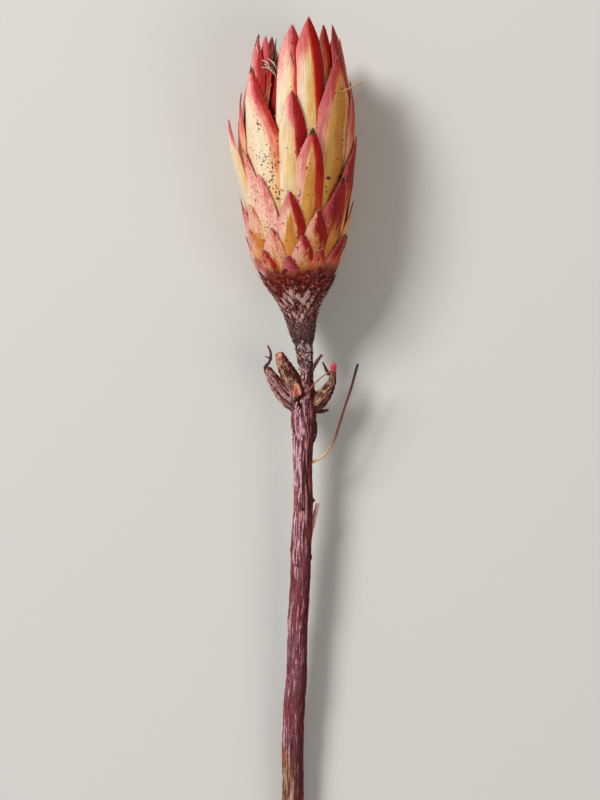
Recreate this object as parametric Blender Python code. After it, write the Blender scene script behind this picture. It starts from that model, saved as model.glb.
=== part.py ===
"""Dried protea flower lying on its side: a cut woody stem, a cone of small scales and a head of bracts.

Metres, +Z up, resting on z = 0. The bract tips point to +Y and the cut end of the stem to -Y.
The origin is the middle of the flat spot under the widest part of the head.
"""
import math
import random

import bmesh
import bpy
import numpy as np
from mathutils import Vector

MM = 0.001
SEED = 11

# Where the head begins on the stem, and how its axis lies
HEAD_BASE = Vector((2.2 * MM, -65.3 * MM, 15.15 * MM))
HEAD_TILT = math.radians(3.56)
AXIS_BEND_LENGTH = 30.0 * MM
AXIS_BEND_POWER = 1.5
ALONG = Vector((0.0, math.cos(HEAD_TILT), math.sin(HEAD_TILT)))
UPWARD = Vector((0.0, -math.sin(HEAD_TILT), math.cos(HEAD_TILT)))
SIDEWAYS = Vector((1.0, 0.0, 0.0))

# Outline of the whole head: distance along the axis and radius, both in millimetres
OUTLINE = (
    (0.0, 2.9), (2.3, 3.5), (5.0, 4.2), (8.4, 4.9), (11.7, 6.0), (15.1, 7.7), (18.4, 9.9),
    (20.8, 11.4), (24.1, 13.1), (27.8, 14.6), (31.8, 15.9), (38.5, 17.1), (48.6, 18.7),
    (55.3, 19.4), (65.3, 20.0), (76.0, 19.8), (82.1, 19.2), (88.8, 17.6), (95.5, 16.2),
    (102.2, 14.4), (107.0, 13.1), (112.0, 12.0),
)
# How far under the outline the solid middle lies: distance along and depth, in millimetres
CORE_DEPTH = ((0.0, 0.35), (12.0, 0.7), (19.0, 1.2), (28.0, 2.1), (40.0, 3.2), (55.0, 3.8), (80.0, 4.2))
# The packed florets in the mouth of the head: distance along and radius, in millimetres
FLORET_DOME = ((84.0, 14.0), (90.0, 11.2), (95.0, 7.8), (98.5, 4.2), (100.0, 1.6))
CORE_SIDES = 18
CORE_STEP = 7.0 * MM
CORE_END = 82.0 * MM
BELOW_SEAM = 4.0 * MM
BELOW_CONE = 2.0 * MM
PAST_SEAM = 3.5 * MM
FLORET_RIDGE = 0.07

# The seam where the cone of dark scales ends and the head of bracts begins
SEAM = 19.0 * MM
NODE_GAP = 0.3 * MM

# The underside is pressed by lying on the surface
FLOOR_CLEARANCE = 0.2 * MM
PRESS_SHARPNESS = 10.0
LOWER_SIDE = 0.05

# Bract blades
BRACT_STATIONS = (0.0, 0.45, 0.74, 0.91, 1.0)
BRACT_COLUMNS = 3
BRACT_THICK = 1.0 * MM
EDGE_THICK = 0.65 * MM
BRACT_PROUD = 0.5 * MM
TIP_HALF_WIDTH = 0.45 * MM
BRACT_CURVE = 1.9
BRACT_TAPER = 3.2
TAPER_POWER = 0.8
ROOT_WIDTH = 0.75
ROOT_NARROWS_FROM = 0.6
ROOT_SINK = 0.9 * MM
MIDDLE_DISTANCE = 25.0 * MM
LIFT_REACH = 28.0 * MM
# How far the next row of bracts stands back: distance along and pitch, in millimetres
ROW_PITCH = ((0.0, 2.0), (12.0, 2.6), (19.0, 3.4), (28.0, 5.0), (40.0, 8.0), (60.0, 11.0), (90.0, 14.0))

# Bracts on the upper side, each placed as it grew: tip along the axis, angle of the tip round the
# axis, angle lower down, half width and lift off its layer (millimetres and degrees, 0 faces up)
UPPER_BRACTS = (
    (110.0, 17.0, 14.5, 5.2, 0.3),
    (107.5, -7.0, -9.0, 4.8, -0.3),
    (107.9, 62.0, 66.0, 4.8, -0.2),
    (103.2, -66.0, -54.0, 4.6, 0.0),
    (96.8, 53.0, 37.0, 6.2, 0.3),
    (94.0, -63.0, -37.0, 6.8, 0.3),
    (89.1, 82.0, 76.0, 4.8, 0.0),
    (85.4, -5.0, -4.0, 4.8, 0.2),
    (85.4, -90.0, -84.0, 4.6, -0.1),
    (76.5, -82.0, -80.0, 4.6, 2.8),
    (73.0, 15.0, 11.5, 5.3, 0.3),
    (70.4, 78.0, 64.0, 5.6, 0.1),
    (66.3, -61.0, -57.0, 5.6, 0.1),
    (58.0, -40.0, -38.0, 5.3, 0.1),
    (57.0, 51.0, 44.0, 5.8, 0.1),
    (52.0, -7.0, -6.0, 4.7, 0.2),
    (49.6, -84.0, -78.0, 5.0, 0.0),
    (47.6, -57.0, -54.0, 5.0, 0.1),
    (39.5, -66.0, -64.0, 4.4, 0.0),
    (45.6, 22.5, 27.0, 4.6, 0.1),
    (39.9, -29.0, -34.0, 4.4, 0.0),
    (37.9, 67.0, 52.0, 4.7, 0.1),
    (37.5, 7.0, 9.0, 4.0, 0.1),
    (32.5, -42.0, -44.0, 3.8, 0.0),
    (30.5, -10.0, -6.0, 3.4, 0.1),
)
# Narrow inner bracts that stand behind the tallest ones on the upper side, in the same columns
INNER_BRACTS = (
    (107.8, 48.0, 44.0, 3.2, -2.0),
    (104.0, -51.0, -44.0, 3.4, -1.6),
    (100.2, -44.0, -40.0, 2.6, -2.4),
)
# Rows on the hidden side: tip along, first and last angle, count, half width and lift
HIDDEN_ROWS = (
    (103.5, 97.0, 250.0, 6, 4.9, 0.0),
    (98.0, 80.0, 215.0, 4, 3.6, -2.2),
    (92.0, 110.0, 245.0, 5, 5.3, 0.1),
    (76.0, 112.0, 258.0, 4, 5.3, 0.0),
    (60.0, 108.0, 252.0, 5, 5.3, 0.0),
    (48.0, 92.0, 262.0, 6, 4.9, 0.0),
    (38.0, 103.0, 272.0, 6, 4.3, 0.0),
    (31.5, 28.0, 296.0, 8, 3.9, 0.0),
)
ROW_TIP_JITTER = 2.0 * MM
ROW_ANGLE_JITTER = math.radians(3.0)

# The broad bract pressed flat under the head, which the flower rests on
REST_BRACT_TIP = 79.0 * MM
REST_BRACT_LENGTH = 42.0 * MM
REST_BRACT_HALF_WIDTH = 5.6 * MM
REST_BRACT_THICK = 1.5 * MM
REST_BRACT_TIP_THICK = 1.0 * MM
REST_BRACT_SINK = 0.35 * MM
REST_BRACT_SAG = 0.25 * MM
REST_BRACT_FLAT = 25.0 * MM
REST_BRACT_RISE = 3.4 * MM
REST_BRACT_STATIONS = (0.0, 0.22, 0.4, 0.72, 0.9, 1.0)

# Small scales, in a spiral from the stem up: distance along and half width, then distance along and
# the height that shows, in millimetres
SCALE_HALF_WIDTH = ((1.6, 1.2), (8.0, 1.4), (14.0, 1.8), (20.0, 2.5), (28.5, 3.6))
SCALE_SHOWN = ((1.6, 2.0), (8.0, 2.4), (14.0, 3.0), (20.0, 3.8), (28.5, 5.0))
SCALE_FIRST = 2.4 * MM
SCALE_LAST = 28.0 * MM
SCALE_TAPER = 2.0
SCALE_STATIONS = (0.0, 0.6, 1.0)
SCALE_COLUMNS = 2
SCALE_THICK = 0.8 * MM
SCALE_PROUD = 0.35 * MM
SCALE_CURVE = 1.6
GOLDEN_ANGLE = math.radians(137.508)

# Stem centre line with its radius: x, y, radius in millimetres. Its height follows the head's axis
STEM_LINE = (
    (2.3, -65.8, 2.85), (2.6, -69.5, 2.7), (3.3, -72.5, 2.15), (3.4, -75.5, 2.1), (2.9, -78.5, 3.0),
    (2.4, -81.5, 3.7), (2.2, -84.5, 4.3), (2.2, -88.0, 4.3), (2.2, -93.0, 4.1), (2.1, -98.0, 3.5),
    (1.9, -104.0, 3.25), (2.0, -110.0, 3.2), (2.1, -117.0, 3.3), (1.9, -124.0, 3.3),
    (1.5, -131.0, 3.4), (1.3, -138.0, 3.45), (1.1, -145.0, 3.5), (0.8, -152.0, 3.45),
    (0.3, -159.0, 3.4), (0.1, -166.0, 3.35), (0.0, -173.0, 3.45), (-0.3, -180.0, 3.55),
    (-0.9, -187.0, 3.6), (-1.2, -194.0, 3.6), (-1.4, -201.0, 3.6), (-1.4, -208.0, 3.55),
    (-1.3, -215.0, 3.5), (-1.4, -223.0, 3.5), (-1.5, -232.0, 3.5), (-1.6, -241.0, 3.5),
    (-1.7, -254.0, 3.5),
)
STEM_DROP = math.tan(HEAD_TILT)
STEM_END_HEIGHT = 3.35 * MM
STEM_SIDES = 13
STEM_RIDGE = 0.07
STEM_DRIFT_KEPT = 0.8
STEM_DRIFT_NEW = 0.6
STEM_TWIST = math.radians(1.5) / MM
STEM_CUT_POINT = Vector((-1.6 * MM, -250.0 * MM, STEM_END_HEIGHT))
STEM_CUT_NORMAL = Vector((0.35, -1.0, 0.1)).normalized()

# Stubs and twigs on the stem: x, y, z and radius in millimetres
LIMBS = {
    "left limb": ((0.5, -85.5, 14.0, 3.0), (-2.2, -84.0, 14.4, 2.7), (-4.9, -81.6, 14.7, 2.4),
                  (-7.4, -78.6, 15.0, 2.1), (-9.4, -75.5, 15.2, 1.7), (-10.8, -73.0, 15.0, 1.1)),
    "left hook": ((-9.8, -75.6, 15.4, 0.7), (-11.0, -72.6, 15.8, 0.5), (-9.2, -71.0, 16.2, 0.45),
                  (-8.6, -68.0, 16.6, 0.4), (-9.7, -64.7, 16.6, 0.35)),
    "inner limb": ((-0.4, -81.5, 14.5, 2.5), (-2.7, -78.6, 15.6, 2.4), (-4.2, -74.8, 16.6, 2.0),
                   (-5.6, -71.4, 17.3, 1.6), (-6.7, -67.8, 17.8, 1.2)),
    "right horn": ((3.4, -86.0, 13.5, 3.0), (6.6, -83.6, 13.4, 2.6), (9.4, -80.8, 13.6, 1.8),
                   (11.2, -77.2, 14.2, 1.25), (12.2, -73.6, 14.9, 0.75), (12.0, -71.0, 15.3, 0.5)),
    "right hook": ((10.9, -75.6, 14.6, 0.7), (9.7, -73.2, 15.2, 0.45), (8.5, -70.7, 15.6, 0.35)),
    "thorn": ((5.0, -86.6, 12.6, 1.2), (8.2, -87.4, 12.4, 0.75), (10.8, -87.0, 12.4, 0.35)),
    "tan twig": ((1.6, -84.2, 17.2, 0.7), (4.4, -79.9, 17.6, 0.5), (7.7, -76.4, 17.9, 0.45),
                 (11.4, -73.4, 16.6, 0.45)),
    "dark spike": ((4.6, -79.4, 14.6, 0.7), (4.9, -73.8, 15.4, 0.5), (6.7, -70.4, 15.8, 0.45),
                   (8.6, -68.2, 16.0, 0.4)),
    "wiry twig": ((3.8, -105.6, 12.6, 0.6), (7.7, -103.6, 12.9, 0.42), (10.4, -101.2, 13.4, 0.4),
                  (12.6, -97.4, 14.0, 0.4), (14.4, -92.0, 14.7, 0.4), (16.1, -86.4, 15.4, 0.4),
                  (18.3, -79.8, 16.4, 0.4), (20.1, -73.2, 17.3, 0.38), (20.6, -71.6, 17.6, 0.35)),
    "side sliver": ((3.0, -135.4, 10.4, 1.0), (4.4, -130.0, 10.6, 0.9), (5.8, -124.0, 11.0, 0.8),
                    (7.1, -118.9, 11.4, 0.7)),
}
LIMB_SIDES = {"left limb": 7, "inner limb": 7, "right horn": 7}
TWIG_SIDES = 5
CUTTER_SIZE = 0.6

ROUGHNESS = 0.75
COLOURS = {
    "stem": (0.19, 0.085, 0.075),
    "scale_cone": (0.16, 0.035, 0.03),
    "flower_head": (0.72, 0.29, 0.18),
}


def clear_scene():
    """Remove whatever the new file holds."""
    for item in list(bpy.data.objects):
        bpy.data.objects.remove(item, do_unlink=True)


def table_value(table, value):
    """Read a smooth value, in metres, out of a table that is written in millimetres."""
    return float(np.interp(value / MM, [row[0] for row in table], [row[1] for row in table])) * MM


def axis_point(along):
    """Return the point of the head's axis at a distance from its base."""
    bend = max(0.0, 1.0 - along / AXIS_BEND_LENGTH) ** AXIS_BEND_POWER
    point = HEAD_BASE + along * ALONG
    point.x = HEAD_BASE.x * bend
    return point


def direction_round(angle):
    """Return the outward direction at an angle round the axis, 0 being up and 90 degrees +X."""
    return math.cos(angle) * UPWARD + math.sin(angle) * SIDEWAYS


def pressed_radius(along, angle):
    """Return the outline's radius, drawn in where the head would sink into the surface."""
    radius = table_value(OUTLINE, along)
    down = -math.cos(angle)
    if down <= LOWER_SIDE:
        return radius
    room = (axis_point(along).z - FLOOR_CLEARANCE) / down
    return (radius ** -PRESS_SHARPNESS + room ** -PRESS_SHARPNESS) ** (-1.0 / PRESS_SHARPNESS)


def head_point(along, radius, angle):
    """Return the point at a distance along, a radius and an angle in the head."""
    return axis_point(along) + radius * direction_round(angle)


def add_grid_body(bm, upper, lower):
    """Close two matching grids of points into one body, split into triangles alike on both faces."""
    rows = len(upper)
    columns = len(upper[0])
    top = [[bm.verts.new(point) for point in row] for row in upper]
    under = [[bm.verts.new(point) for point in row] for row in lower]
    for row in range(rows - 1):
        for column in range(columns - 1):
            near = top[row][column], top[row][column + 1]
            far = top[row + 1][column], top[row + 1][column + 1]
            bm.faces.new((near[0], near[1], far[1]))
            bm.faces.new((near[0], far[1], far[0]))
            near = under[row][column], under[row][column + 1]
            far = under[row + 1][column], under[row + 1][column + 1]
            bm.faces.new((near[0], far[1], near[1]))
            bm.faces.new((near[0], far[0], far[1]))
        for column, turn in ((0, 1), (columns - 1, -1)):
            edge = (top[row][column], top[row + 1][column], under[row + 1][column], under[row][column])
            bm.faces.new(edge[::turn])
    for row, turn in ((0, -1), (rows - 1, 1)):
        for column in range(columns - 1):
            end = (top[row][column], top[row][column + 1], under[row][column + 1], under[row][column])
            bm.faces.new(end[::turn])


def new_object(name, bm, collection):
    """Turn a bmesh into an object with outward faces."""
    bmesh.ops.recalc_face_normals(bm, faces=bm.faces)
    mesh = bpy.data.meshes.new(name)
    bm.to_mesh(mesh)
    bm.free()
    item = bpy.data.objects.new(name, mesh)
    collection.objects.link(item)
    return item


def half_width_at(from_tip, half_width, length, taper_lengths):
    """Return a bract's half width at a distance from its tip: pointed, then even, narrower at the root."""
    taper = min(1.0, from_tip / (taper_lengths * half_width))
    width = half_width * math.sin(math.pi / 2 * taper) ** TAPER_POWER
    down = from_tip / length
    past = max(0.0, (down - ROOT_NARROWS_FROM) / (1.0 - ROOT_NARROWS_FROM))
    narrowing = 1.0 - (1.0 - ROOT_WIDTH) * past
    return max(TIP_HALF_WIDTH, width * narrowing)


def add_blade(name, collection, blade):
    """Add one bract or scale: a blade that leans out of the solid middle like a shingle."""
    slope = blade["thick"] / table_value(ROW_PITCH, blade["tip"])
    reach = table_value(CORE_DEPTH, blade["tip"]) + ROOT_SINK + blade["proud"]
    length = reach / slope
    upper = []
    lower = []
    for station in blade["stations"]:
        from_tip = length * (1.0 - station)
        along = blade["tip"] - from_tip
        swing = min(1.0, from_tip / MIDDLE_DISTANCE)
        angle = blade["angle"] + (blade["low_angle"] - blade["angle"]) * swing
        half = half_width_at(from_tip, blade["half_width"], length, blade["taper"])
        lift = blade["lift"]
        if lift > 0.0:
            lift *= max(0.0, 1.0 - from_tip / LIFT_REACH)
        radius = pressed_radius(along, angle) + blade["proud"] - slope * from_tip + lift
        ahead = pressed_radius(along + MM, angle) - pressed_radius(along - MM, angle)
        lean = ahead / (2 * MM) + slope
        outward = direction_round(angle)
        across = -math.sin(angle) * UPWARD + math.cos(angle) * SIDEWAYS
        normal = (outward - lean * ALONG).normalized()
        centre = head_point(along, radius, angle)
        upper_row = []
        lower_row = []
        for column in range(blade["columns"] + 1):
            part = 2.0 * column / blade["columns"] - 1.0
            aside = part * half
            sag = aside ** 2 / (2.0 * blade["curve"])
            thick = EDGE_THICK + (blade["thick"] - EDGE_THICK) * (1.0 - part ** 2)
            point = centre + aside * across - sag * normal
            upper_row.append(point)
            lower_row.append(point - thick * normal)
        upper.append(upper_row)
        lower.append(lower_row)
    bm = bmesh.new()
    add_grid_body(bm, upper, lower)
    return new_object(name, bm, collection)


def bract(tip, angle, low_angle, half_width, lift):
    """Describe a large bract, given in metres and radians."""
    return {
        "tip": tip, "angle": angle, "low_angle": low_angle, "half_width": half_width, "lift": lift,
        "stations": BRACT_STATIONS, "columns": BRACT_COLUMNS, "thick": BRACT_THICK,
        "proud": BRACT_PROUD, "curve": BRACT_CURVE * half_width, "taper": BRACT_TAPER,
    }


def all_bracts():
    """List every large bract: the placed ones and the seeded rows of the hidden side."""
    chance = random.Random(SEED)
    found = []
    for tip, angle, low_angle, half_width, lift in UPPER_BRACTS + INNER_BRACTS:
        found.append(bract(tip * MM, math.radians(angle), math.radians(low_angle),
                           half_width * MM, lift * MM))
    for tip, first, last, count, half_width, lift in HIDDEN_ROWS:
        for number in range(count):
            angle = math.radians(first + (last - first) * number / (count - 1))
            angle += chance.uniform(-ROW_ANGLE_JITTER, ROW_ANGLE_JITTER)
            tip_here = tip * MM + chance.uniform(-ROW_TIP_JITTER, ROW_TIP_JITTER)
            low_angle = angle + chance.uniform(-ROW_ANGLE_JITTER, ROW_ANGLE_JITTER)
            found.append(bract(tip_here, angle, low_angle, half_width * MM, lift * MM))
    return found


def all_scales():
    """List the small scales in one spiral, spaced so that they cover the surface."""
    found = []
    along = SCALE_FIRST
    angle = 0.0
    while along < SCALE_LAST:
        half_width = table_value(SCALE_HALF_WIDTH, along)
        shown = table_value(SCALE_SHOWN, along)
        found.append({
            "tip": along, "angle": angle, "low_angle": angle, "half_width": half_width, "lift": 0.0,
            "stations": SCALE_STATIONS, "columns": SCALE_COLUMNS, "thick": SCALE_THICK,
            "proud": SCALE_PROUD, "curve": SCALE_CURVE * half_width, "taper": SCALE_TAPER,
        })
        angle = (angle + GOLDEN_ANGLE) % (2 * math.pi)
        along += 2 * half_width * shown / (2 * math.pi * table_value(OUTLINE, along))
    return found


def add_middle(name, start, end, dome, collection):
    """Add the solid middle that the blades grow from, with ridged florets in its open end."""
    bm = bmesh.new()
    steps = math.ceil((end - start) / CORE_STEP)
    stations = [start + (end - start) * step / steps for step in range(steps + 1)]
    rings = []
    for along in stations:
        depth = table_value(CORE_DEPTH, along)
        ring = []
        for side in range(CORE_SIDES):
            angle = 2 * math.pi * (side + 0.5) / CORE_SIDES
            ring.append(head_point(along, pressed_radius(along, angle) - depth, angle))
        rings.append([bm.verts.new(point) for point in ring])
    for along, radius in dome:
        ring = []
        for side in range(CORE_SIDES):
            angle = 2 * math.pi * (side + 0.5) / CORE_SIDES
            ridge = 1.0 + FLORET_RIDGE if side % 2 else 1.0 - FLORET_RIDGE
            ring.append(head_point(along * MM, radius * MM * ridge, angle))
        rings.append([bm.verts.new(point) for point in ring])
    for low, high in zip(rings, rings[1:]):
        for side in range(CORE_SIDES):
            after = (side + 1) % CORE_SIDES
            bm.faces.new((low[side], low[after], high[after]))
            bm.faces.new((low[side], high[after], high[side]))
    bm.faces.new(rings[0])
    bm.faces.new(rings[-1])
    return new_object(name, bm, collection)


def add_tube(name, points, sides, collection):
    """Add a closed tube through points that carry their own radius, all in millimetres."""
    bm = bmesh.new()
    centres = [Vector(point[:3]) * MM for point in points]
    rings = []
    guide = Vector((0.0, 0.0, 1.0))
    for number, centre in enumerate(centres):
        behind = centres[max(0, number - 1)]
        ahead = centres[min(len(centres) - 1, number + 1)]
        forward = (ahead - behind).normalized()
        guide = (guide - guide.dot(forward) * forward).normalized()
        other = forward.cross(guide)
        radius = points[number][3] * MM
        ring = []
        for side in range(sides):
            turn = 2 * math.pi * side / sides
            ring.append(bm.verts.new(centre + radius * (math.cos(turn) * guide + math.sin(turn) * other)))
        rings.append(ring)
    for low, high in zip(rings, rings[1:]):
        for side in range(sides):
            after = (side + 1) % sides
            bm.faces.new((low[side], low[after], high[after], high[side]))
    bm.faces.new(rings[0])
    bm.faces.new(rings[-1])
    return new_object(name, bm, collection)


def keep_one_body(item):
    """Fill hollows that the union sealed and drop loose scraps: only the largest shell is kept."""
    bm = bmesh.new()
    bm.from_mesh(item.data)
    left = set(bm.faces)
    shells = []
    while left:
        reached = [left.pop()]
        shell = list(reached)
        while reached:
            for edge in reached.pop().edges:
                for face in edge.link_faces:
                    if face in left:
                        left.remove(face)
                        shell.append(face)
                        reached.append(face)
        shells.append(shell)
    shells.sort(key=len, reverse=True)
    for shell in shells[1:]:
        bmesh.ops.delete(bm, geom=shell, context="FACES")
    bm.to_mesh(item.data)
    bm.free()


def apply_boolean(item, modifier):
    """Apply a Boolean modifier. The exact solver gives the same body here, a hundred times slower."""
    modifier.solver = "MANIFOLD"
    bpy.context.view_layer.update()
    evaluated = item.evaluated_get(bpy.context.evaluated_depsgraph_get())
    result = bpy.data.meshes.new_from_object(evaluated)
    item.modifiers.clear()
    item.data = result


def fuse(item, repeats):
    """Join a collection of repeats to the body they grow from, then remove them."""
    union = item.modifiers.new("grown together", "BOOLEAN")
    union.operation = "UNION"
    union.operand_type = "COLLECTION"
    union.collection = repeats
    apply_boolean(item, union)
    for repeat in list(repeats.objects):
        bpy.data.objects.remove(repeat, do_unlink=True)
    bpy.data.collections.remove(repeats)
    keep_one_body(item)


def cut_away(item, point, normal):
    """Cut off what lies beyond a plane."""
    bm = bmesh.new()
    bmesh.ops.create_cube(bm, size=CUTTER_SIZE)
    bmesh.ops.translate(bm, verts=bm.verts, vec=(0.0, 0.0, CUTTER_SIZE / 2))
    cutter = new_object("cutter", bm, bpy.context.scene.collection)
    cutter.rotation_euler = normal.to_track_quat("Z", "Y").to_euler()
    cutter.location = point
    cutter.hide_render = True
    cutter.display_type = "WIRE"
    cut = item.modifiers.new("cut", "BOOLEAN")
    cut.operation = "DIFFERENCE"
    cut.object = cutter
    apply_boolean(item, cut)
    bpy.data.objects.remove(cutter, do_unlink=True)


def new_repeats(name):
    """Open a collection for repeats that are about to be joined."""
    repeats = bpy.data.collections.new(name)
    bpy.context.scene.collection.children.link(repeats)
    return repeats


def build_stem():
    """Build the ridged woody stem with its stubs, twigs and slanting cut end."""
    chance = random.Random(SEED + 1)
    scene = bpy.context.scene.collection
    bm = bmesh.new()
    rings = []
    drift = [chance.uniform(-1.0, 1.0) for _ in range(STEM_SIDES)]
    for x, y, radius in STEM_LINE:
        height = HEAD_BASE.z + (y * MM - HEAD_BASE.y) * STEM_DROP
        centre = Vector((x * MM, y * MM, height))
        ring = []
        for side in range(STEM_SIDES):
            drift[side] = STEM_DRIFT_KEPT * drift[side] + STEM_DRIFT_NEW * chance.uniform(-1.0, 1.0)
            turn = 2 * math.pi * side / STEM_SIDES + (y * MM) * STEM_TWIST
            around = math.cos(turn) * UPWARD + math.sin(turn) * SIDEWAYS
            ring.append(bm.verts.new(centre + radius * MM * (1.0 + STEM_RIDGE * drift[side]) * around))
        rings.append(ring)
    for low, high in zip(rings, rings[1:]):
        for side in range(STEM_SIDES):
            after = (side + 1) % STEM_SIDES
            bm.faces.new((low[side], low[after], high[after]))
            bm.faces.new((low[side], high[after], high[side]))
    bm.faces.new(rings[0])
    bm.faces.new(rings[-1])
    stem = new_object("stem", bm, scene)
    repeats = new_repeats("limbs")
    for name, points in LIMBS.items():
        add_tube(name, points, LIMB_SIDES.get(name, TWIG_SIDES), repeats)
    fuse(stem, repeats)
    cut_away(stem, HEAD_BASE - NODE_GAP * ALONG, ALONG)
    cut_away(stem, STEM_CUT_POINT, STEM_CUT_NORMAL)
    return stem


def build_scale_cone():
    """Build the dark cone of small overlapping scales between the stem and the bracts."""
    scene = bpy.context.scene.collection
    cone = add_middle("scale_cone", -BELOW_CONE, SEAM + PAST_SEAM, (), scene)
    repeats = new_repeats("cone scales")
    for number, scale in enumerate(all_scales()):
        if scale["tip"] < SEAM + PAST_SEAM:
            add_blade(f"cone scale {number}", repeats, scale)
    fuse(cone, repeats)
    cut_away(cone, HEAD_BASE, -ALONG)
    cut_away(cone, axis_point(SEAM), ALONG)
    return cone


def add_rest_bract(collection):
    """Add the bract that is pressed flat against the surface under the widest part of the head."""
    upper = []
    lower = []
    for station in REST_BRACT_STATIONS:
        from_tip = REST_BRACT_LENGTH * (1.0 - station)
        past_flat = max(0.0, from_tip - REST_BRACT_FLAT) / (REST_BRACT_LENGTH - REST_BRACT_FLAT)
        y = axis_point(REST_BRACT_TIP - from_tip).y
        half = half_width_at(from_tip, REST_BRACT_HALF_WIDTH, REST_BRACT_LENGTH, BRACT_TAPER)
        thick = REST_BRACT_THICK + (REST_BRACT_TIP_THICK - REST_BRACT_THICK) * station
        outer = []
        inner = []
        for column in range(BRACT_COLUMNS + 1):
            part = 2.0 * column / BRACT_COLUMNS - 1.0
            height = REST_BRACT_SAG * part ** 2 - REST_BRACT_SINK + REST_BRACT_RISE * past_flat ** 2
            outer.append(Vector((part * half, y, height)))
            inner.append(Vector((part * half, y, height + thick)))
        upper.append(outer)
        lower.append(inner)
    bm = bmesh.new()
    add_grid_body(bm, upper, lower)
    return new_object("rest bract", bm, collection)


def build_flower_head():
    """Build the head: layered bracts and the upper scales on a solid middle with florets."""
    scene = bpy.context.scene.collection
    head = add_middle("flower_head", SEAM - BELOW_SEAM, CORE_END, FLORET_DOME, scene)
    repeats = new_repeats("bracts")
    for number, blade in enumerate(all_bracts()):
        add_blade(f"bract {number}", repeats, blade)
    for number, scale in enumerate(all_scales()):
        if scale["tip"] > SEAM:
            add_blade(f"upper scale {number}", repeats, scale)
    add_rest_bract(repeats)
    fuse(head, repeats)
    cut_away(head, axis_point(SEAM + NODE_GAP), -ALONG)
    return head


def finish(item):
    """Lay the part flat on the surface and give it its material."""
    cut_away(item, Vector((0.0, 0.0, 0.0)), Vector((0.0, 0.0, -1.0)))
    keep_one_body(item)
    material = bpy.data.materials.new(item.name)
    material.use_nodes = True
    shader = material.node_tree.nodes["Principled BSDF"]
    shader.inputs["Base Color"].default_value = (*COLOURS[item.name], 1.0)
    shader.inputs["Roughness"].default_value = ROUGHNESS
    item.data.materials.clear()
    item.data.materials.append(material)


def main():
    """Build the three parts of the flower."""
    clear_scene()
    for item in (build_stem(), build_scale_cone(), build_flower_head()):
        finish(item)


main()
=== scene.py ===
"""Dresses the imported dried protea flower: bracts, scales, florets, bark, twigs, light and camera."""

import logging
import math
import random
from collections.abc import Callable, Sequence
from dataclasses import dataclass, field
from enum import Enum

import bmesh
import bpy
import numpy as np
from mathutils import Matrix, Vector, noise


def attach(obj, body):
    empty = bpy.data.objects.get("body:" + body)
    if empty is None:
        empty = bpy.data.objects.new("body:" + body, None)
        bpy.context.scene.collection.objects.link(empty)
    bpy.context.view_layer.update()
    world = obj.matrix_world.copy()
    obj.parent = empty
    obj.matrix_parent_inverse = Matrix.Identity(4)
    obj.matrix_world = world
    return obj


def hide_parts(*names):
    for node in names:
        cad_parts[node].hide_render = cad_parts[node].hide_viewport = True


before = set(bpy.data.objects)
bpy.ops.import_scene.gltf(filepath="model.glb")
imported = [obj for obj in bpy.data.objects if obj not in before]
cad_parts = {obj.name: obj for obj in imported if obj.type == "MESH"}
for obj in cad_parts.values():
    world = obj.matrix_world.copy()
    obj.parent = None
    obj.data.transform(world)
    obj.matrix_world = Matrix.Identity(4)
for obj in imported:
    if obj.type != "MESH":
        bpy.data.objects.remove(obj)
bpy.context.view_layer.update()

MM = 0.001
BODY = "root"
UV_NAME = "surface"
MAP_MM = 10.0  # millimetres to one unit of the surface map
CHART_ROOM = 40.0  # map units over which small pieces are shifted
WELD = 0.001 * MM  # points closer than this are one point
GOLDEN_ANGLE = math.pi * (3.0 - math.sqrt(5.0))  # turn from one scale or floret to the next
FULL_TURN = 2.0 * math.pi

Colour = tuple[float, float, float, float]
LitShaded = tuple[Colour, Colour]
Table = tuple[tuple[float, float], ...]
Spot = tuple[float, float, float, float]
Rule = Callable[[float, float], float]
Marks = dict[str, Rule]
Place = Callable[[float, float], Vector]
Chart = Callable[[float, float], tuple[float, float]]
Socket = bpy.types.NodeSocket
Finishes = dict[str, bpy.types.Material]

log = logging.getLogger("protea")


def tone(red: int, green: int, blue: int) -> Colour:
    """Turn a screen colour of 0 to 255 a channel into the linear colour that a shader takes.

    Args:
        red, green, blue: the colour as it looks on a screen.

    Returns:
        The linear colour with full opacity.
    """
    linear = []
    for channel in (red, green, blue):
        value = channel / 255.0
        linear.append(value / 12.92 if value <= 0.04045 else ((value + 0.055) / 1.055) ** 2.4)
    return linear[0], linear[1], linear[2], 1.0


def table_value(table: Table, at: float) -> float:
    """Read a value between the rows of a table.

    Args:
        table: rows of place and value, in rising order of place.
        at: the place to read.

    Returns:
        The value there, held level past both ends.
    """
    places, values = zip(*table)
    return float(np.interp(at, places, values))


def smooth_step(low: float, high: float, value: float) -> float:
    """Return 0 at low and before it, 1 at high and past it, and a smooth rise between them."""
    part = min(1.0, max(0.0, (value - low) / (high - low)))
    return part * part * (3.0 - 2.0 * part)


def steady(**values: float) -> Marks:
    """Give attributes that have one value all over a grid."""
    return {name: (lambda u, v, value=value: value) for name, value in values.items()}


class Node(Enum):
    """The CAD nodes that the pieces stand for."""

    STEM = "stem"
    CONE = "scale_cone"
    HEAD = "flower_head"


# ---- materials ----


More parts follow.
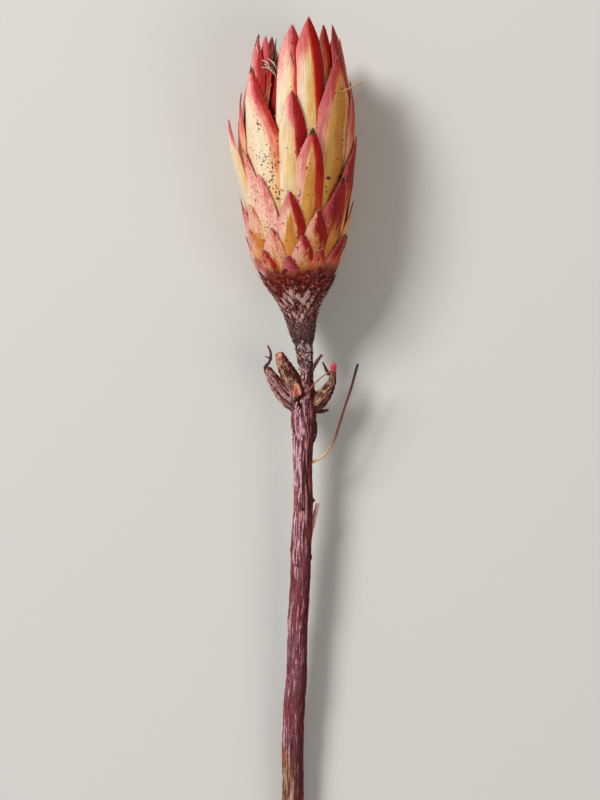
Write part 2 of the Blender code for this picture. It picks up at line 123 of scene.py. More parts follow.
class Recipe:
    """Puts one procedural material together with short calls."""

    def __init__(self, name: str) -> None:
        """Start an empty material with its shader."""
        self.material = bpy.data.materials.new(name)
        self.material.use_nodes = True
        self.nodes = self.material.node_tree.nodes
        self.links = self.material.node_tree.links
        self.shader = self.nodes["Principled BSDF"]

    def put(self, socket: Socket, value: object) -> None:
        """Link a socket to another node's socket, or set its number or colour."""
        if isinstance(value, Socket):
            self.links.new(value, socket)
        else:
            socket.default_value = value

    def attribute(self, name: str, output: str = "Fac") -> Socket:
        """Read one of the piece's own attributes."""
        made = self.nodes.new("ShaderNodeAttribute")
        made.attribute_name = name
        return made.outputs[output]

    def surface(self) -> Socket:
        """Read the piece's own UV map, 10 mm to the unit."""
        made = self.nodes.new("ShaderNodeUVMap")
        made.uv_map = UV_NAME
        return made.outputs["UV"]

    def place(self) -> Socket:
        """Read the place in the object, in metres."""
        return self.nodes.new("ShaderNodeTexCoord").outputs["Object"]

    def stretch(self, vector: Socket, scale: Sequence[float]) -> Socket:
        """Scale a pattern's coordinates, each way by its own factor."""
        made = self.nodes.new("ShaderNodeMapping")
        made.inputs["Scale"].default_value = scale
        self.put(made.inputs["Vector"], vector)
        return made.outputs["Vector"]

    def clouds(self, vector: Socket, scale: float | Sequence[float], detail: float = 2.0,
               rough: float = 0.5, warp: float = 0.0) -> Socket:
        """Add cloudy noise between 0 and 1.

        Args:
            vector: the coordinates to read.
            scale: how many clouds to the unit, or three such numbers for streaks.
            detail: octaves of finer clouds.
            rough: how strong the finer clouds are.
            warp: how far the clouds are pulled about.

        Returns:
            The noise as a number.
        """
        if not isinstance(scale, float):
            vector, scale = self.stretch(vector, scale), 1.0
        made = self.nodes.new("ShaderNodeTexNoise")
        self.put(made.inputs["Vector"], vector)
        numbers = {"Scale": scale, "Detail": detail, "Roughness": rough, "Distortion": warp}
        for name, number in numbers.items():
            made.inputs[name].default_value = number
        return made.outputs["Fac"]

    def sum(self, operation: str, first: object, second: object) -> Socket:
        """Work out one sum of two numbers or sockets."""
        made = self.nodes.new("ShaderNodeMath")
        made.operation = operation
        self.put(made.inputs[0], first)
        self.put(made.inputs[1], second)
        return made.outputs["Value"]

    def add(self, *terms: object) -> Socket:
        """Add up any number of numbers and sockets."""
        total = terms[0]
        for term in terms[1:]:
            total = self.sum("ADD", total, term)
        return total

    def times(self, first: object, second: object) -> Socket:
        """Multiply two numbers or sockets."""
        return self.sum("MULTIPLY", first, second)

    def sway(self, value: Socket, amount: object) -> Socket:
        """Centre a noise on 0 and scale it."""
        return self.times(self.sum("SUBTRACT", value, 0.5), amount)

    def frayed(self, name: str, *sways: tuple[Socket, object]) -> Socket:
        """Read one of the piece's attributes and fray it with noises.

        Args:
            name: the attribute.
            sways: pairs of a noise and how much it counts.

        Returns:
            The attribute, raised and lowered by the noises.
        """
        return self.add(self.attribute(name), *(self.sway(pattern, amount) for pattern, amount in sways))

    def span(self, value: object, low: float, high: float, to_low: float = 0.0,
             to_high: float = 1.0, smooth: bool = True) -> Socket:
        """Spread the range low to high over another range, held at its ends."""
        made = self.nodes.new("ShaderNodeMapRange")
        made.interpolation_type = "SMOOTHSTEP" if smooth else "LINEAR"
        for name, number in (("From Min", low), ("From Max", high), ("To Min", to_low), ("To Max", to_high)):
            made.inputs[name].default_value = number
        self.put(made.inputs["Value"], value)
        return made.outputs["Result"]

    def mix(self, factor: object, first: object, second: object, way: str = "MIX") -> Socket:
        """Mix two colours.

        Args:
            factor: 0 for the first colour, 1 for the second.
            first, second: colours or sockets.
            way: the blend, such as MIX or MULTIPLY.

        Returns:
            The mixed colour.
        """
        made = self.nodes.new("ShaderNodeMix")
        made.data_type = "RGBA"
        made.blend_type = way
        self.put(made.inputs["Factor"], factor)
        self.put(made.inputs[6], first)
        self.put(made.inputs[7], second)
        return made.outputs[2]

    def coat(self, under: object, over: object, value: object, low: float, high: float,
             most: float = 1.0) -> Socket:
        """Lay a colour over another.

        Args:
            under, over: colours or sockets.
            value: the pattern that says where.
            low: where the pattern is this low, nothing of the upper colour shows.
            high: where it is this high, the most shows.
            most: how much that is, 0 to 1.

        Returns:
            The coated colour.
        """
        return self.mix(self.span(value, low, high, 0.0, most), under, over)

    def shade(self, colour: object, value: object, low: float, high: float, dark: float,
              light: float) -> Socket:
        """Multiply a colour by dark where a pattern is low, up to light where it is high."""
        return self.mix(1.0, colour, self.span(value, low, high, dark, light, smooth=False), "MULTIPLY")

    def relief(self, height: Socket, depth: float, strength: float, below: Socket | None = None) -> Socket:
        """Turn a height pattern into a bumped normal, on top of another if one is given."""
        made = self.nodes.new("ShaderNodeBump")
        made.inputs["Distance"].default_value = depth
        made.inputs["Strength"].default_value = strength
        self.put(made.inputs["Height"], height)
        if below is not None:
            self.put(made.inputs["Normal"], below)
        return made.outputs["Normal"]

    def dots(self, vector: Socket, scale: float, radius: float, share: object) -> Socket:
        """Scatter round dots of varied size.

        Args:
            vector: the coordinates to read.
            scale: how many cells to the unit; each holds at most one dot.
            radius: the largest dot's radius as a part of a cell.
            share: the part of the cells that hold a dot.

        Returns:
            1 in a dot and 0 outside.
        """
        cells = self.nodes.new("ShaderNodeTexVoronoi")
        self.put(cells.inputs["Vector"], vector)
        cells.inputs["Scale"].default_value = scale
        drawn = self.nodes.new("ShaderNodeSeparateColor")
        self.put(drawn.inputs["Color"], cells.outputs["Color"])
        chosen = self.sum("GREATER_THAN", self.add(drawn.outputs[0], share), 1.0)
        size = self.span(drawn.outputs[1], 0.0, 1.0, 0.35 * radius, radius, smooth=False)
        inside = self.sum("SUBTRACT", size, cells.outputs["Distance"])
        return self.times(chosen, self.span(inside, 0.0, 0.25 * radius))

    def finish(self, colour: object, roughness: object, specular: float,
               normal: Socket | None = None) -> bpy.types.Material:
        """Set the shader and hand the material over.

        Args:
            colour: the base colour.
            roughness: a number or a pattern.
            specular: how strong the highlights are.
            normal: the bumped normal, if any.

        Returns:
            The finished material.
        """
        self.put(self.shader.inputs["Base Color"], colour)
        self.put(self.shader.inputs["Roughness"], roughness)
        self.put(self.shader.inputs["Specular IOR Level"], specular)
        if normal is not None:
            self.put(self.shader.inputs["Normal"], normal)
        return self.material


@dataclass(frozen=True)
class BractFinish:
    """Dried bract: cream to tan body, streaked with salmon, crimson and purple towards the tip.

    Pairs hold a lit and a shaded copy of each colour, as painted light and shade: paler and pinker on the lit
    side, deeper and more orange on the shaded one.
    """

    cream: LitShaded = (tone(252, 234, 202), tone(250, 222, 158))
    peach: LitShaded = (tone(253, 212, 188), tone(246, 168, 92))
    salmon: LitShaded = (tone(246, 168, 154), tone(222, 92, 44))
    crimson: LitShaded = (tone(214, 92, 100), tone(204, 26, 14))
    dusk: LitShaded = (tone(160, 50, 68), tone(158, 9, 7))
    gold: Colour = tone(238, 186, 104)
    tan: Colour = tone(212, 132, 50)
    bloom_and_sheen: Colour = tone(216, 142, 154)
    speck: Colour = tone(66, 30, 18)
    rust: Colour = tone(150, 66, 28)
    dry: Colour = tone(116, 86, 70)
    foot_red: Colour = tone(112, 18, 14)
    foot_brown: Colour = tone(158, 84, 62)

    def make(self) -> bpy.types.Material:
        """Build the material from the bract's own map and attributes."""
        recipe = Recipe("dried_bract")
        uv = recipe.surface()
        streaks = recipe.clouds(uv, (15.0, 0.55, 1.0), 3.0, 0.6)
        fine = recipe.clouds(uv, (24.0, 1.1, 1.0), 3.0, 0.6)
        broad = recipe.clouds(uv, (4.0, 1.4, 1.0), 3.0, 0.55)
        patches = recipe.clouds(uv, (8.0, 5.0, 1.0), 4.0, 0.65, 0.6)
        grain = recipe.clouds(uv, (22.0, 15.0, 1.0), 3.0, 0.7)
        mottle = recipe.attribute("mottle")
        # painted shade: 0 on the lit side of each bract and of the head, 1 on the shaded side; each pair of
        # colours is mixed by it
        painted_shade = recipe.span(recipe.frayed("lit_to_shaded", (broad, 0.8)), -0.6, 0.6)
        blush = recipe.frayed("blush", (streaks, 0.85), (broad, 0.5), (patches, recipe.times(mottle, 0.9)),
                              (grain, recipe.times(mottle, 1.3)))
        olive = recipe.frayed("tan", (broad, 0.6), (streaks, 0.8), (grain, recipe.times(mottle, 1.2)))

        # the body, from cream to tan
        peach = recipe.mix(painted_shade, *self.peach)
        body = recipe.coat(recipe.mix(painted_shade, *self.cream), self.gold, streaks, 0.5, 0.66, 0.55)
        body = recipe.coat(body, peach, recipe.add(fine, broad), 0.96, 1.22, 0.6)
        body = recipe.coat(body, self.gold, olive, 0.0, 0.55)
        body = recipe.coat(body, self.tan, olive, 0.45, 1.05)

        # the red that runs down from the tip, with a pale bloom on it that is kept to the lit side as a
        # painted sheen
        crimson = recipe.mix(painted_shade, *self.crimson)
        colour = recipe.coat(body, peach, blush, -0.35, 0.1)
        colour = recipe.coat(colour, recipe.mix(painted_shade, *self.salmon), blush, -0.05, 0.35)
        colour = recipe.coat(colour, crimson, blush, 0.16, 0.62)
        darker = recipe.span(recipe.attribute("dusk"), 0.0, 1.0, -0.35, 0.3, smooth=False)
        # the dark red of the tip reaches further on the painted shaded side
        deep = recipe.add(blush, darker, recipe.sway(painted_shade, 0.7))
        colour = recipe.coat(colour, recipe.mix(painted_shade, *self.dusk), deep, 0.5, 1.0)
        bloom_and_sheen_share = recipe.times(recipe.span(patches, 0.48, 0.7), recipe.span(blush, 0.2, 0.6, 0.0, 0.5))
        bloom_and_sheen_share = recipe.times(bloom_and_sheen_share, recipe.span(painted_shade, 0.2, 0.8, 1.0, 0.1))
        colour = recipe.mix(bloom_and_sheen_share, colour, self.bloom_and_sheen)

        # flecks, the dark foot, the dry tip, specks and the reddened edge
        flecks = recipe.times(mottle, recipe.span(grain, 0.54, 0.66, 0.0, 0.5))
        colour = recipe.mix(flecks, colour, self.rust)
        foot = recipe.coat(self.foot_red, self.foot_brown, patches, 0.44, 0.6)
        colour = recipe.coat(colour, foot, recipe.frayed("root", (patches, 1.3), (grain, 0.8)), 0.25, 0.9)
        tuft = recipe.coat(self.speck, self.dry, grain, 0.42, 0.58)
        colour = recipe.coat(colour, tuft, recipe.frayed("dry", (patches, 0.9)), 0.35, 0.8)
        crowd = recipe.times(recipe.attribute("specks"), recipe.span(patches, 0.36, 0.62, 0.1, 1.0))
        small = recipe.dots(recipe.stretch(uv, (1.0, 0.75, 1.0)), 11.0, 0.4, recipe.times(crowd, 0.6))
        large = recipe.dots(recipe.stretch(uv, (1.0, 0.7, 1.0)), 6.5, 0.32, recipe.times(crowd, 0.4))
        colour = recipe.mix(recipe.times(large, 0.8), colour, recipe.mix(grain, self.speck, self.rust))
        colour = recipe.mix(recipe.times(small, 0.9), colour, self.speck)
        colour = recipe.mix(recipe.times(recipe.attribute("edge"), 0.4), colour, crimson)

        colour = recipe.shade(colour, recipe.add(grain, fine, streaks), 1.1, 1.9, 0.66, 1.2)
        rough = recipe.span(recipe.add(grain, broad), 0.7, 1.3, 0.42, 0.6)
        normal = recipe.relief(recipe.add(streaks, recipe.times(fine, 0.5)), 0.3 * MM, 0.9)
        normal = recipe.relief(recipe.add(grain, recipe.times(small, -0.6)), 0.14 * MM, 0.8, normal)
        return recipe.finish(colour, rough, 0.14, normal)


@dataclass(frozen=True)
class ScaleFinish:
    """Small felted scale: dusty face inside a dark red edge, duller and darker low on the cone, with orange
    patches that are partly painted highlight and, on some flakes, a blue-grey painted glint.
    """

    red: Colour = tone(138, 24, 18)
    deep: Colour = tone(66, 8, 8)
    felt: Colour = tone(230, 196, 188)
    frost: Colour = tone(176, 184, 196)
    earth: Colour = tone(104, 66, 62)
    glow: Colour = tone(182, 82, 50)
    ash: Colour = tone(196, 164, 158)
    soot: Colour = tone(42, 28, 32)

    def make(self) -> bpy.types.Material:
        """Build the material from the scale's own map and attributes."""
        recipe = Recipe("felted_scale")
        place = recipe.place()
        patches = recipe.clouds(place, 700.0, 3.0, 0.6)
        grain = recipe.clouds(place, 2100.0, 3.0, 0.65)
        fuzz = recipe.clouds(place, 1900.0, 2.0, 0.6)
        streaked = recipe.add(grain, recipe.clouds(recipe.surface(), (26.0, 4.0, 1.0)))
        colour = recipe.coat(self.deep, self.red, patches, 0.36, 0.64)
        colour = recipe.coat(colour, self.glow, recipe.frayed("glow", (patches, 0.7)), 0.3, 0.9, 0.8)
        colour = recipe.coat(colour, self.earth, recipe.frayed("earth", (grain, 1.6)), 0.15, 0.95, 0.85)
        colour = recipe.coat(colour, self.soot, recipe.frayed("soot", (patches, 1.2)), 0.2, 0.8, 0.9)
        ash = recipe.times(recipe.attribute("earth"), recipe.span(fuzz, 0.54, 0.66, 0.0, 0.75))
        colour = recipe.mix(ash, colour, self.ash)
        # painted glint: some flakes take a blue-grey reflection in place of their felt colour
        dust = recipe.mix(recipe.attribute("frost"), self.felt, self.frost)
        felt = recipe.frayed("felt", (grain, 2.2), (patches, 1.2))
        colour = recipe.coat(colour, dust, felt, 0.22, 0.72, 0.92)
        colour = recipe.shade(colour, streaked, 0.72, 1.28, 0.6, 1.25)
        return recipe.finish(colour, 0.7, 0.3, recipe.relief(streaked, 0.12 * MM, 0.9))


@dataclass(frozen=True)
class BarkFinish:
    """Woody bark: mauve with lilac-grey ridges and dark red-brown furrows along the grain, darker and redder
    as painted shade on the side that faces right and down.
    """

    furrow: Colour = tone(70, 24, 30)
    mauve: Colour = tone(134, 76, 92)
    wine: Colour = tone(138, 54, 58)
    lilac: Colour = tone(234, 184, 194)
    brown: Colour = tone(104, 58, 42)
    pale_brown: Colour = tone(206, 160, 132)
    shady: Colour = tone(176, 54, 38)
    dark: Colour = tone(30, 14, 13)
    rust: Colour = tone(204, 92, 44)
    sapwood: Colour = tone(250, 196, 160)
    flesh: Colour = tone(222, 122, 110)
    ember: Colour = tone(142, 56, 54)

    def make(self) -> bpy.types.Material:
        """Build the material from the grain coordinates, in millimetres, that the wood carries."""
        recipe = Recipe("woody_bark")
        grain = recipe.attribute("grain", "Vector")
        streaks = recipe.clouds(grain, (1.05, 1.05, 0.1), 2.0, 0.55)
        fibres = recipe.clouds(grain, (2.3, 2.3, 0.32), 3.0, 0.65)
        broad = recipe.clouds(grain, (0.35, 0.35, 0.06), 3.0, 0.6)
        pits = recipe.clouds(grain, (2.6, 2.6, 1.5), 4.0, 0.65)
        threads = recipe.clouds(grain, (2.1, 2.1, 0.13), 1.0, 0.5)

        # furrows and ridges
        ridge = recipe.frayed("ridge", (streaks, 0.5), (threads, 3.0), (fibres, 1.2), (pits, 0.8))
        ridge = recipe.add(recipe.sway(ridge, recipe.attribute("rough")), 0.5)
        brown = recipe.span(recipe.frayed("brown", (broad, 0.8), (fibres, 0.8)), 0.25, 0.8)
        low = recipe.coat(self.mauve, self.wine, recipe.add(broad, recipe.sway(fibres, 0.7)), 0.42, 0.62)
        colour = recipe.coat(self.furrow, recipe.mix(brown, low, self.brown), ridge, -0.05, 0.42)
        light = recipe.mix(brown, self.lilac, self.pale_brown)
        colour = recipe.coat(colour, light, ridge, 0.56, 0.98, 0.95)

        # painted shade on the far side, then stains, cut faces and dark marks
        painted_shade_colour = recipe.mix(1.0, colour, self.shady, "MULTIPLY")
        colour = recipe.mix(recipe.attribute("shady"), colour, painted_shade_colour)
        colour = recipe.coat(colour, self.rust, recipe.frayed("rust", (pits, 0.7)), 0.3, 0.8)
        flesh = recipe.coat(self.ember, self.flesh, fibres, 0.38, 0.5)
        flesh = recipe.coat(flesh, self.sapwood, fibres, 0.49, 0.6)
        colour = recipe.coat(colour, flesh, recipe.frayed("wood", (pits, 0.9)), 0.45, 0.7)
        colour = recipe.coat(colour, self.dark, recipe.frayed("dark", (fibres, 0.8)), 0.3, 0.85, 0.95)

        colour = recipe.shade(colour, recipe.add(pits, fibres), 0.78, 1.22, 0.62, 1.24)
        normal = recipe.relief(recipe.add(threads, streaks, fibres), 0.5 * MM, 1.0)
        normal = recipe.relief(pits, 0.2 * MM, 0.9, normal)
        return recipe.finish(colour, recipe.span(pits, 0.3, 0.7, 0.5, 0.75), 0.3, normal)


@dataclass(frozen=True)
class WoodFinish:
    """Bare wood at the stem's cut end: fibrous and pitted."""

    light: Colour = tone(204, 166, 122)
    dark: Colour = tone(140, 96, 66)

    def make(self) -> bpy.types.Material:
        """Build the material from the place in the object."""
        recipe = Recipe("cut_wood")
        place = recipe.place()
        fibres = recipe.clouds(place, (1400.0, 300.0, 1400.0), 3.0, 0.6)
        pits = recipe.clouds(place, 2600.0, 3.0)
        colour = recipe.coat(self.dark, self.light, fibres, 0.35, 0.65)
        colour = recipe.shade(colour, pits, 0.3, 0.7, 0.7, 1.15)
        return recipe.finish(colour, 0.7, 0.3, recipe.relief(recipe.add(fibres, pits), 0.15 * MM, 0.9))


@dataclass(frozen=True)
class StrandFinish:
    """Thin dry strand whose colour runs from its foot to its tip."""

    name: str
    foot: Colour
    middle: Colour
    tip: Colour
    roughness: float = 0.5

    def make(self) -> bpy.types.Material:
        """Build the material from the strand's reach, 0 at the foot and 1 at the tip."""
        recipe = Recipe(self.name)
        fibres = recipe.clouds(recipe.surface(), (26.0, 2.5, 1.0), 3.0, 0.6)
        pits = recipe.clouds(recipe.place(), 1600.0)
        reach = recipe.frayed("reach", (pits, 0.35))
        colour = recipe.coat(self.foot, self.middle, reach, 0.05, 0.4)
        colour = recipe.coat(colour, self.tip, reach, 0.6, 0.98)
        colour = recipe.shade(colour, recipe.add(fibres, pits), 0.7, 1.3, 0.7, 1.2)
        return recipe.finish(colour, self.roughness, 0.4, recipe.relief(fibres, 0.06 * MM, 0.8))


STRAND_FINISHES = (
    StrandFinish("floret", tone(52, 26, 22), tone(84, 46, 34), tone(150, 112, 84), 0.7),
    StrandFinish("edge_hair", tone(150, 92, 76), tone(226, 190, 166), tone(244, 224, 206)),
    StrandFinish("cone_hair", tone(60, 34, 34), tone(128, 92, 88), tone(206, 176, 170), 0.8),
    StrandFinish("dry_hook", tone(84, 46, 44), tone(70, 32, 34), tone(104, 40, 46)),
    StrandFinish("wiry_twig_skin", tone(240, 198, 138), tone(118, 52, 34), tone(56, 28, 26), 0.4),
    StrandFinish("horn_tip_skin", tone(130, 52, 50), tone(196, 58, 74), tone(222, 96, 108)),
    StrandFinish("tan_slip", tone(70, 40, 30), tone(150, 92, 56), tone(180, 116, 76)),
    StrandFinish("sliver_bark", tone(160, 96, 90), tone(216, 152, 144), tone(222, 162, 152)),
    StrandFinish("straw_skin", tone(200, 150, 96), tone(212, 168, 112), tone(190, 138, 84)),
    StrandFinish("pale_fibre", tone(226, 206, 176), tone(236, 220, 196), tone(214, 190, 160)),
    StrandFinish("dark_bit", tone(66, 30, 26), tone(54, 26, 24), tone(92, 44, 38), 0.6),
    StrandFinish("pink_shred", tone(206, 150, 138), tone(226, 196, 184), tone(200, 120, 100)),
    StrandFinish("dark_grain", tone(58, 24, 16), tone(82, 34, 22), tone(132, 58, 30), 0.7),
)


@dataclass(frozen=True)
class FloorFinish:
    """Plain pale studio floor."""

    colour: Colour = tone(215, 216, 213)

    def make(self) -> bpy.types.Material:
        """Build the floor's plain material."""
        return Recipe("studio_floor").finish(self.colour, 0.9, 0.1)


# ---- mesh making ----


class Piece:
    """One mesh in the making, with its map and its attributes."""

    def __init__(self, name: str) -> None:
        """Start an empty mesh."""
        self.name = name
        self.bm = bmesh.new()
        self.uv = self.bm.loops.layers.uv.new(UV_NAME)

    def layer(self, name: str) -> bmesh.types.BMLayerItem:
        """Return the named number attribute of the vertices, made if it isn't there."""
        layers = self.bm.verts.layers.float
        return layers.get(name) or layers.new(name)

    def grid(self, columns: int, rows: int, place: Place, chart: Chart, marks: Marks,
             weight: Rule | None = None) -> list[bmesh.types.BMVert]:
        """Lay a grid and move each of its points into place.

        Args:
            columns: faces across, u from 0 to 1.
            rows: faces along, v from 0 to 1.
            place: gives a point's place from its u and v, in metres.
            chart: gives its place on the map, in map units.
            marks: gives each attribute's value.
            weight: gives the share of the wall's thickness, if the piece gets a wall.

        Returns:
            The grid's points.
        """
        layers = {name: self.layer(name) for name in marks}
        deform = self.bm.verts.layers.deform.verify() if weight else None
        made = bmesh.ops.create_grid(self.bm, x_segments=columns, y_segments=rows, size=0.5)["verts"]
        for vert in made:
            u, v = vert.co.x + 0.5, vert.co.y + 0.5
            for name, rule in marks.items():
                vert[layers[name]] = rule(u, v)
            if weight:
                vert[deform][0] = weight(u, v)
            spot = chart(u, v)
            for loop in vert.link_loops:
                loop[self.uv].uv = spot
            vert.co = place(u, v)
        return made

    def close_tube(self, verts: list[bmesh.types.BMVert]) -> None:
        """Join the two long edges of a grid that was rolled up, and cap its ends."""
        bmesh.ops.remove_doubles(self.bm, verts=verts, dist=WELD)
        alive = [vert for vert in verts if vert.is_valid]
        rims = {edge for vert in alive for edge in vert.link_edges if edge.is_boundary}
        if rims:
            bmesh.ops.holes_fill(self.bm, edges=list(rims), sides=0)

    def add_hair(self, foot: Vector, way: Vector, length: float, radius: float, reach: float) -> None:
        """Add one straight hair as a slim cone with three sides.

        Args:
            foot: where it grows, in metres.
            way: the direction that it points in.
            length, radius: its size, in millimetres.
            reach: which part of its finish's colours it takes, 0 to 1.
        """
        layer = self.layer("reach")
        ahead = way.normalized()
        middle = Matrix.Translation(foot + ahead * length / 2.0 * MM)
        spot = middle @ ahead.to_track_quat("Z", "Y").to_matrix().to_4x4()
        made = bmesh.ops.create_cone(self.bm, segments=3, radius1=radius * MM, radius2=0.15 * radius * MM,
                                     depth=length * MM, cap_ends=True, matrix=spot)["verts"]
        for vert in made:
            vert[layer] = reach

    def mesh(self) -> bpy.types.Mesh:
        """Turn what was made so far into a mesh, and let go of the rest."""
        mesh = bpy.data.meshes.new(self.name)
        self.bm.to_mesh(mesh)
        self.bm.free()
        return mesh

    def build(self, node: Node, finish: bpy.types.Material, wall: float = 0.0, rounding: int = 0) -> None:
        """Make the object, dress it and put it on the body.

        Args:
            node: the CAD node that it stands for.
            finish: its material.
            wall: the wall's thickness, inwards, in millimetres.
            rounding: levels of subdivision.
        """
        mesh = self.mesh()
        mesh.shade_smooth()
        mesh.materials.append(finish)
        piece = bpy.data.objects.new(self.name, mesh)
        bpy.context.scene.collection.objects.link(piece)
        if wall > 0.0:
            piece.vertex_groups.new(name="wall")
            shell = piece.modifiers.new("wall", "SOLIDIFY")
            shell.thickness = wall * MM
            shell.offset = -1.0
            shell.vertex_group = "wall"
            shell.use_rim = True
        if rounding:
            round_off = piece.modifiers.new("rounding", "SUBSURF")
            round_off.levels = rounding
            round_off.render_levels = rounding
        settle(piece, node)


def settle(piece: bpy.types.Object, node: Node) -> None:
    """Put a finished object on the body in place of its CAD node, and report it."""
    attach(piece, BODY)
    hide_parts(node.value)
    log.info("%s: %d faces", piece.name, len(piece.data.polygons))


@dataclass(frozen=True)
class Ring:
    """One station of a path: its place, directions, radius and distance from the start, in millimetres."""

    place: Vector
    side: Vector
    other: Vector
    ahead: Vector
    radius: float
    distance: float


@dataclass(frozen=True)
class Route:
    """A smooth path through given points, each with a radius, in millimetres."""

    points: tuple[Spot, ...]
    step: float = 0.7
    least_radius: float = 0.12
    wobble_across: float = 1.7
    wobble_along: float = 0.9

    def stations(self) -> list[tuple[Vector, float, float]]:
        """Follow the path with a curve through its points.

        Returns:
            Place, radius and distance from the start of each station.
        """
        rows = [np.array(point, dtype=float) for point in self.points]
        rows = [2 * rows[0] - rows[1], *rows, 2 * rows[-1] - rows[-2]]
        found: list[tuple[Vector, float, float]] = []
        distance = 0.0
        for first in range(len(rows) - 3):
            a, b, c, d = rows[first:first + 4]
            length = float(np.linalg.norm((c - b)[:3]))
            count = max(2, math.ceil(length / self.step))
            last = count + 1 if first == len(rows) - 4 else count
            for number in range(last):
                t = number / count
                spot = 0.5 * (2 * b + (c - a) * t + (2 * a - 5 * b + 4 * c - d) * t ** 2
                              + (3 * b - a - 3 * c + d) * t ** 3)
                place = Vector(spot[:3])
                if found:
                    distance += (place - found[-1][0]).length
                found.append((place, max(self.least_radius, float(spot[3])), distance))
        return found

    def rings(self) -> list[Ring]:
        """Give each station two sideways directions that don't turn on the way."""
        stations = self.stations()
        side = Vector((0.0, 0.0, 1.0))
        found = []
        for number, (place, radius, distance) in enumerate(stations):
            before = stations[max(0, number - 1)][0]
            after = stations[min(len(stations) - 1, number + 1)][0]
            ahead = (after - before).normalized()
            side = (side - side.dot(ahead) * ahead).normalized()
            found.append(Ring(place, side, ahead.cross(side), ahead, radius, distance))
        return found

    def add_tube(self, piece: Piece, sides: int, flatness: float = 1.0, wobble: float = 0.0) -> None:
        """Add a closed tube along the path.

        Args:
            piece: the mesh that it goes into.
            sides: faces round.
            flatness: the height of the cross-section as a part of its width.
            wobble: how much the radius varies, as a part of it.
        """
        rings = self.rings()
        last = len(rings) - 1

        def place(u: float, v: float) -> Vector:
            """Roll the grid round the path."""
            ring = rings[round(v * last)]
            turn = FULL_TURN * u
            across = (math.cos(turn) * self.wobble_across, math.sin(turn) * self.wobble_across)
            bump = noise.noise(Vector((*across, ring.distance * self.wobble_along + ring.place.x)))
            radius = ring.radius * (1.0 + wobble * bump)
            aside = flatness * math.cos(turn) * ring.side + math.sin(turn) * ring.other
            return (ring.place + radius * aside) * MM

        def chart(u: float, v: float) -> tuple[float, float]:
            """Give the map's place, with the strand's own shift."""
            ring = rings[round(v * last)]
            return FULL_TURN * u * ring.radius / MAP_MM + rings[0].place.x, ring.distance / MAP_MM

        marks = {"reach": lambda u, v: rings[round(v * last)].distance / rings[-1].distance}
        piece.close_tube(piece.grid(sides, last, place, chart, marks))


# ---- the head ----


@dataclass(frozen=True)
class HeadShape:
    """Axis and outline of the closed head, with the surface that it lies on, in millimetres.

    The outline gives the radius along the axis, depth how thick the layers of bracts are there and
    pitch how far apart their tips are.
    """

    base: tuple[float, float, float] = (2.2, -65.3, 15.15)
    tilt: float = math.radians(3.56)
    bend_length: float = 30.0
    bend_power: float = 1.5
    press_power: float = 10.0
    level: float = 0.05
    least_room: float = 0.1
    clearance: float = 0.2
    outline: Table = (
        (0.0, 2.9), (2.3, 3.5), (5.0, 4.2), (8.4, 4.9), (11.7, 6.0), (15.1, 7.7), (18.4, 9.9),
        (20.8, 11.4), (24.1, 13.1), (27.8, 14.6), (31.8, 15.9), (38.5, 17.1), (48.6, 18.7),
        (55.3, 19.4), (65.3, 20.0), (76.0, 19.8), (82.1, 19.2), (88.8, 17.6), (95.5, 16.2),
        (102.2, 14.4), (107.0, 13.1), (112.0, 12.0),
    )
    depth: Table = ((0.0, 0.35), (12.0, 0.7), (19.0, 1.2), (28.0, 2.1), (40.0, 3.2), (55.0, 3.8), (80.0, 4.2))
    pitch: Table = (
        (0.0, 2.0), (12.0, 2.6), (19.0, 3.4), (28.0, 5.0), (40.0, 8.0), (60.0, 11.0), (90.0, 14.0),
    )

    @property
    def ahead(self) -> Vector:
        """Direction from the foot of the head to its tip."""
        return Vector((0.0, math.cos(self.tilt), math.sin(self.tilt)))

    @property
    def above(self) -> Vector:
        """Direction away from the surface, square to the axis."""
        return Vector((0.0, -math.sin(self.tilt), math.cos(self.tilt)))

    def outward(self, angle: float) -> Vector:
        """Direction away from the axis; angle 0 is up and a quarter turn is to the right."""
        return math.cos(angle) * self.above + math.sin(angle) * Vector((1.0, 0.0, 0.0))

    def across(self, angle: float) -> Vector:
        """Direction round the axis, square to the outward one."""
        return -math.sin(angle) * self.above + math.cos(angle) * Vector((1.0, 0.0, 0.0))

    def axis(self, along: float) -> Vector:
        """Point of the axis, which bends a little near its foot."""
        point = Vector(self.base) + along * self.ahead
        point.x = self.base[0] * max(0.0, 1.0 - along / self.bend_length) ** self.bend_power
        return point

    def radius(self, along: float, angle: float) -> float:
        """Radius of the outline, pressed in where the head lies on the surface."""
        free = table_value(self.outline, along)
        down = -math.cos(angle)
        if down <= self.level:
            return free
        room = max(self.least_room, (self.axis(along).z - self.clearance) / down)
        power = self.press_power
        return (free ** -power + room ** -power) ** (-1.0 / power)

    def point(self, along: float, radius: float, angle: float) -> Vector:
        """Point at a distance from the axis."""
        return self.axis(along) + radius * self.outward(angle)


@dataclass(frozen=True)
class Blush:
    """How a bract's colour runs; the reaches say how far below its tip the red goes, in millimetres."""

    tip: float = 12.0
    left: float = 12.0
    right: float = 12.0
    dusk: float = 0.5
    tan: float = 0.3
    specks: float = 0.1
    mottle: float = 0.1
    dry: float = 0.2
    fade: float = 0.3
    peak: float = 1.0

    def value(self, part: float, from_tip: float) -> float:
        """Work out the redness: peak at the tip, 0 where the red ends and below 0 past that.

        Args:
            part: -1 at the left edge, 1 at the right edge.
            from_tip: distance below the tip.

        Returns:
            The redness, not below -0.8.
        """
        side = self.left if part < 0.0 else self.right
        reach = self.tip + (side - self.tip) * smooth_step(0.0, 0.75, abs(part))
        level = 1.0 - from_tip / reach
        if level < 0.0:
            return max(-0.8, level)
        return level * self.peak * (1.0 - self.fade * smooth_step(0.3, -0.8, part))


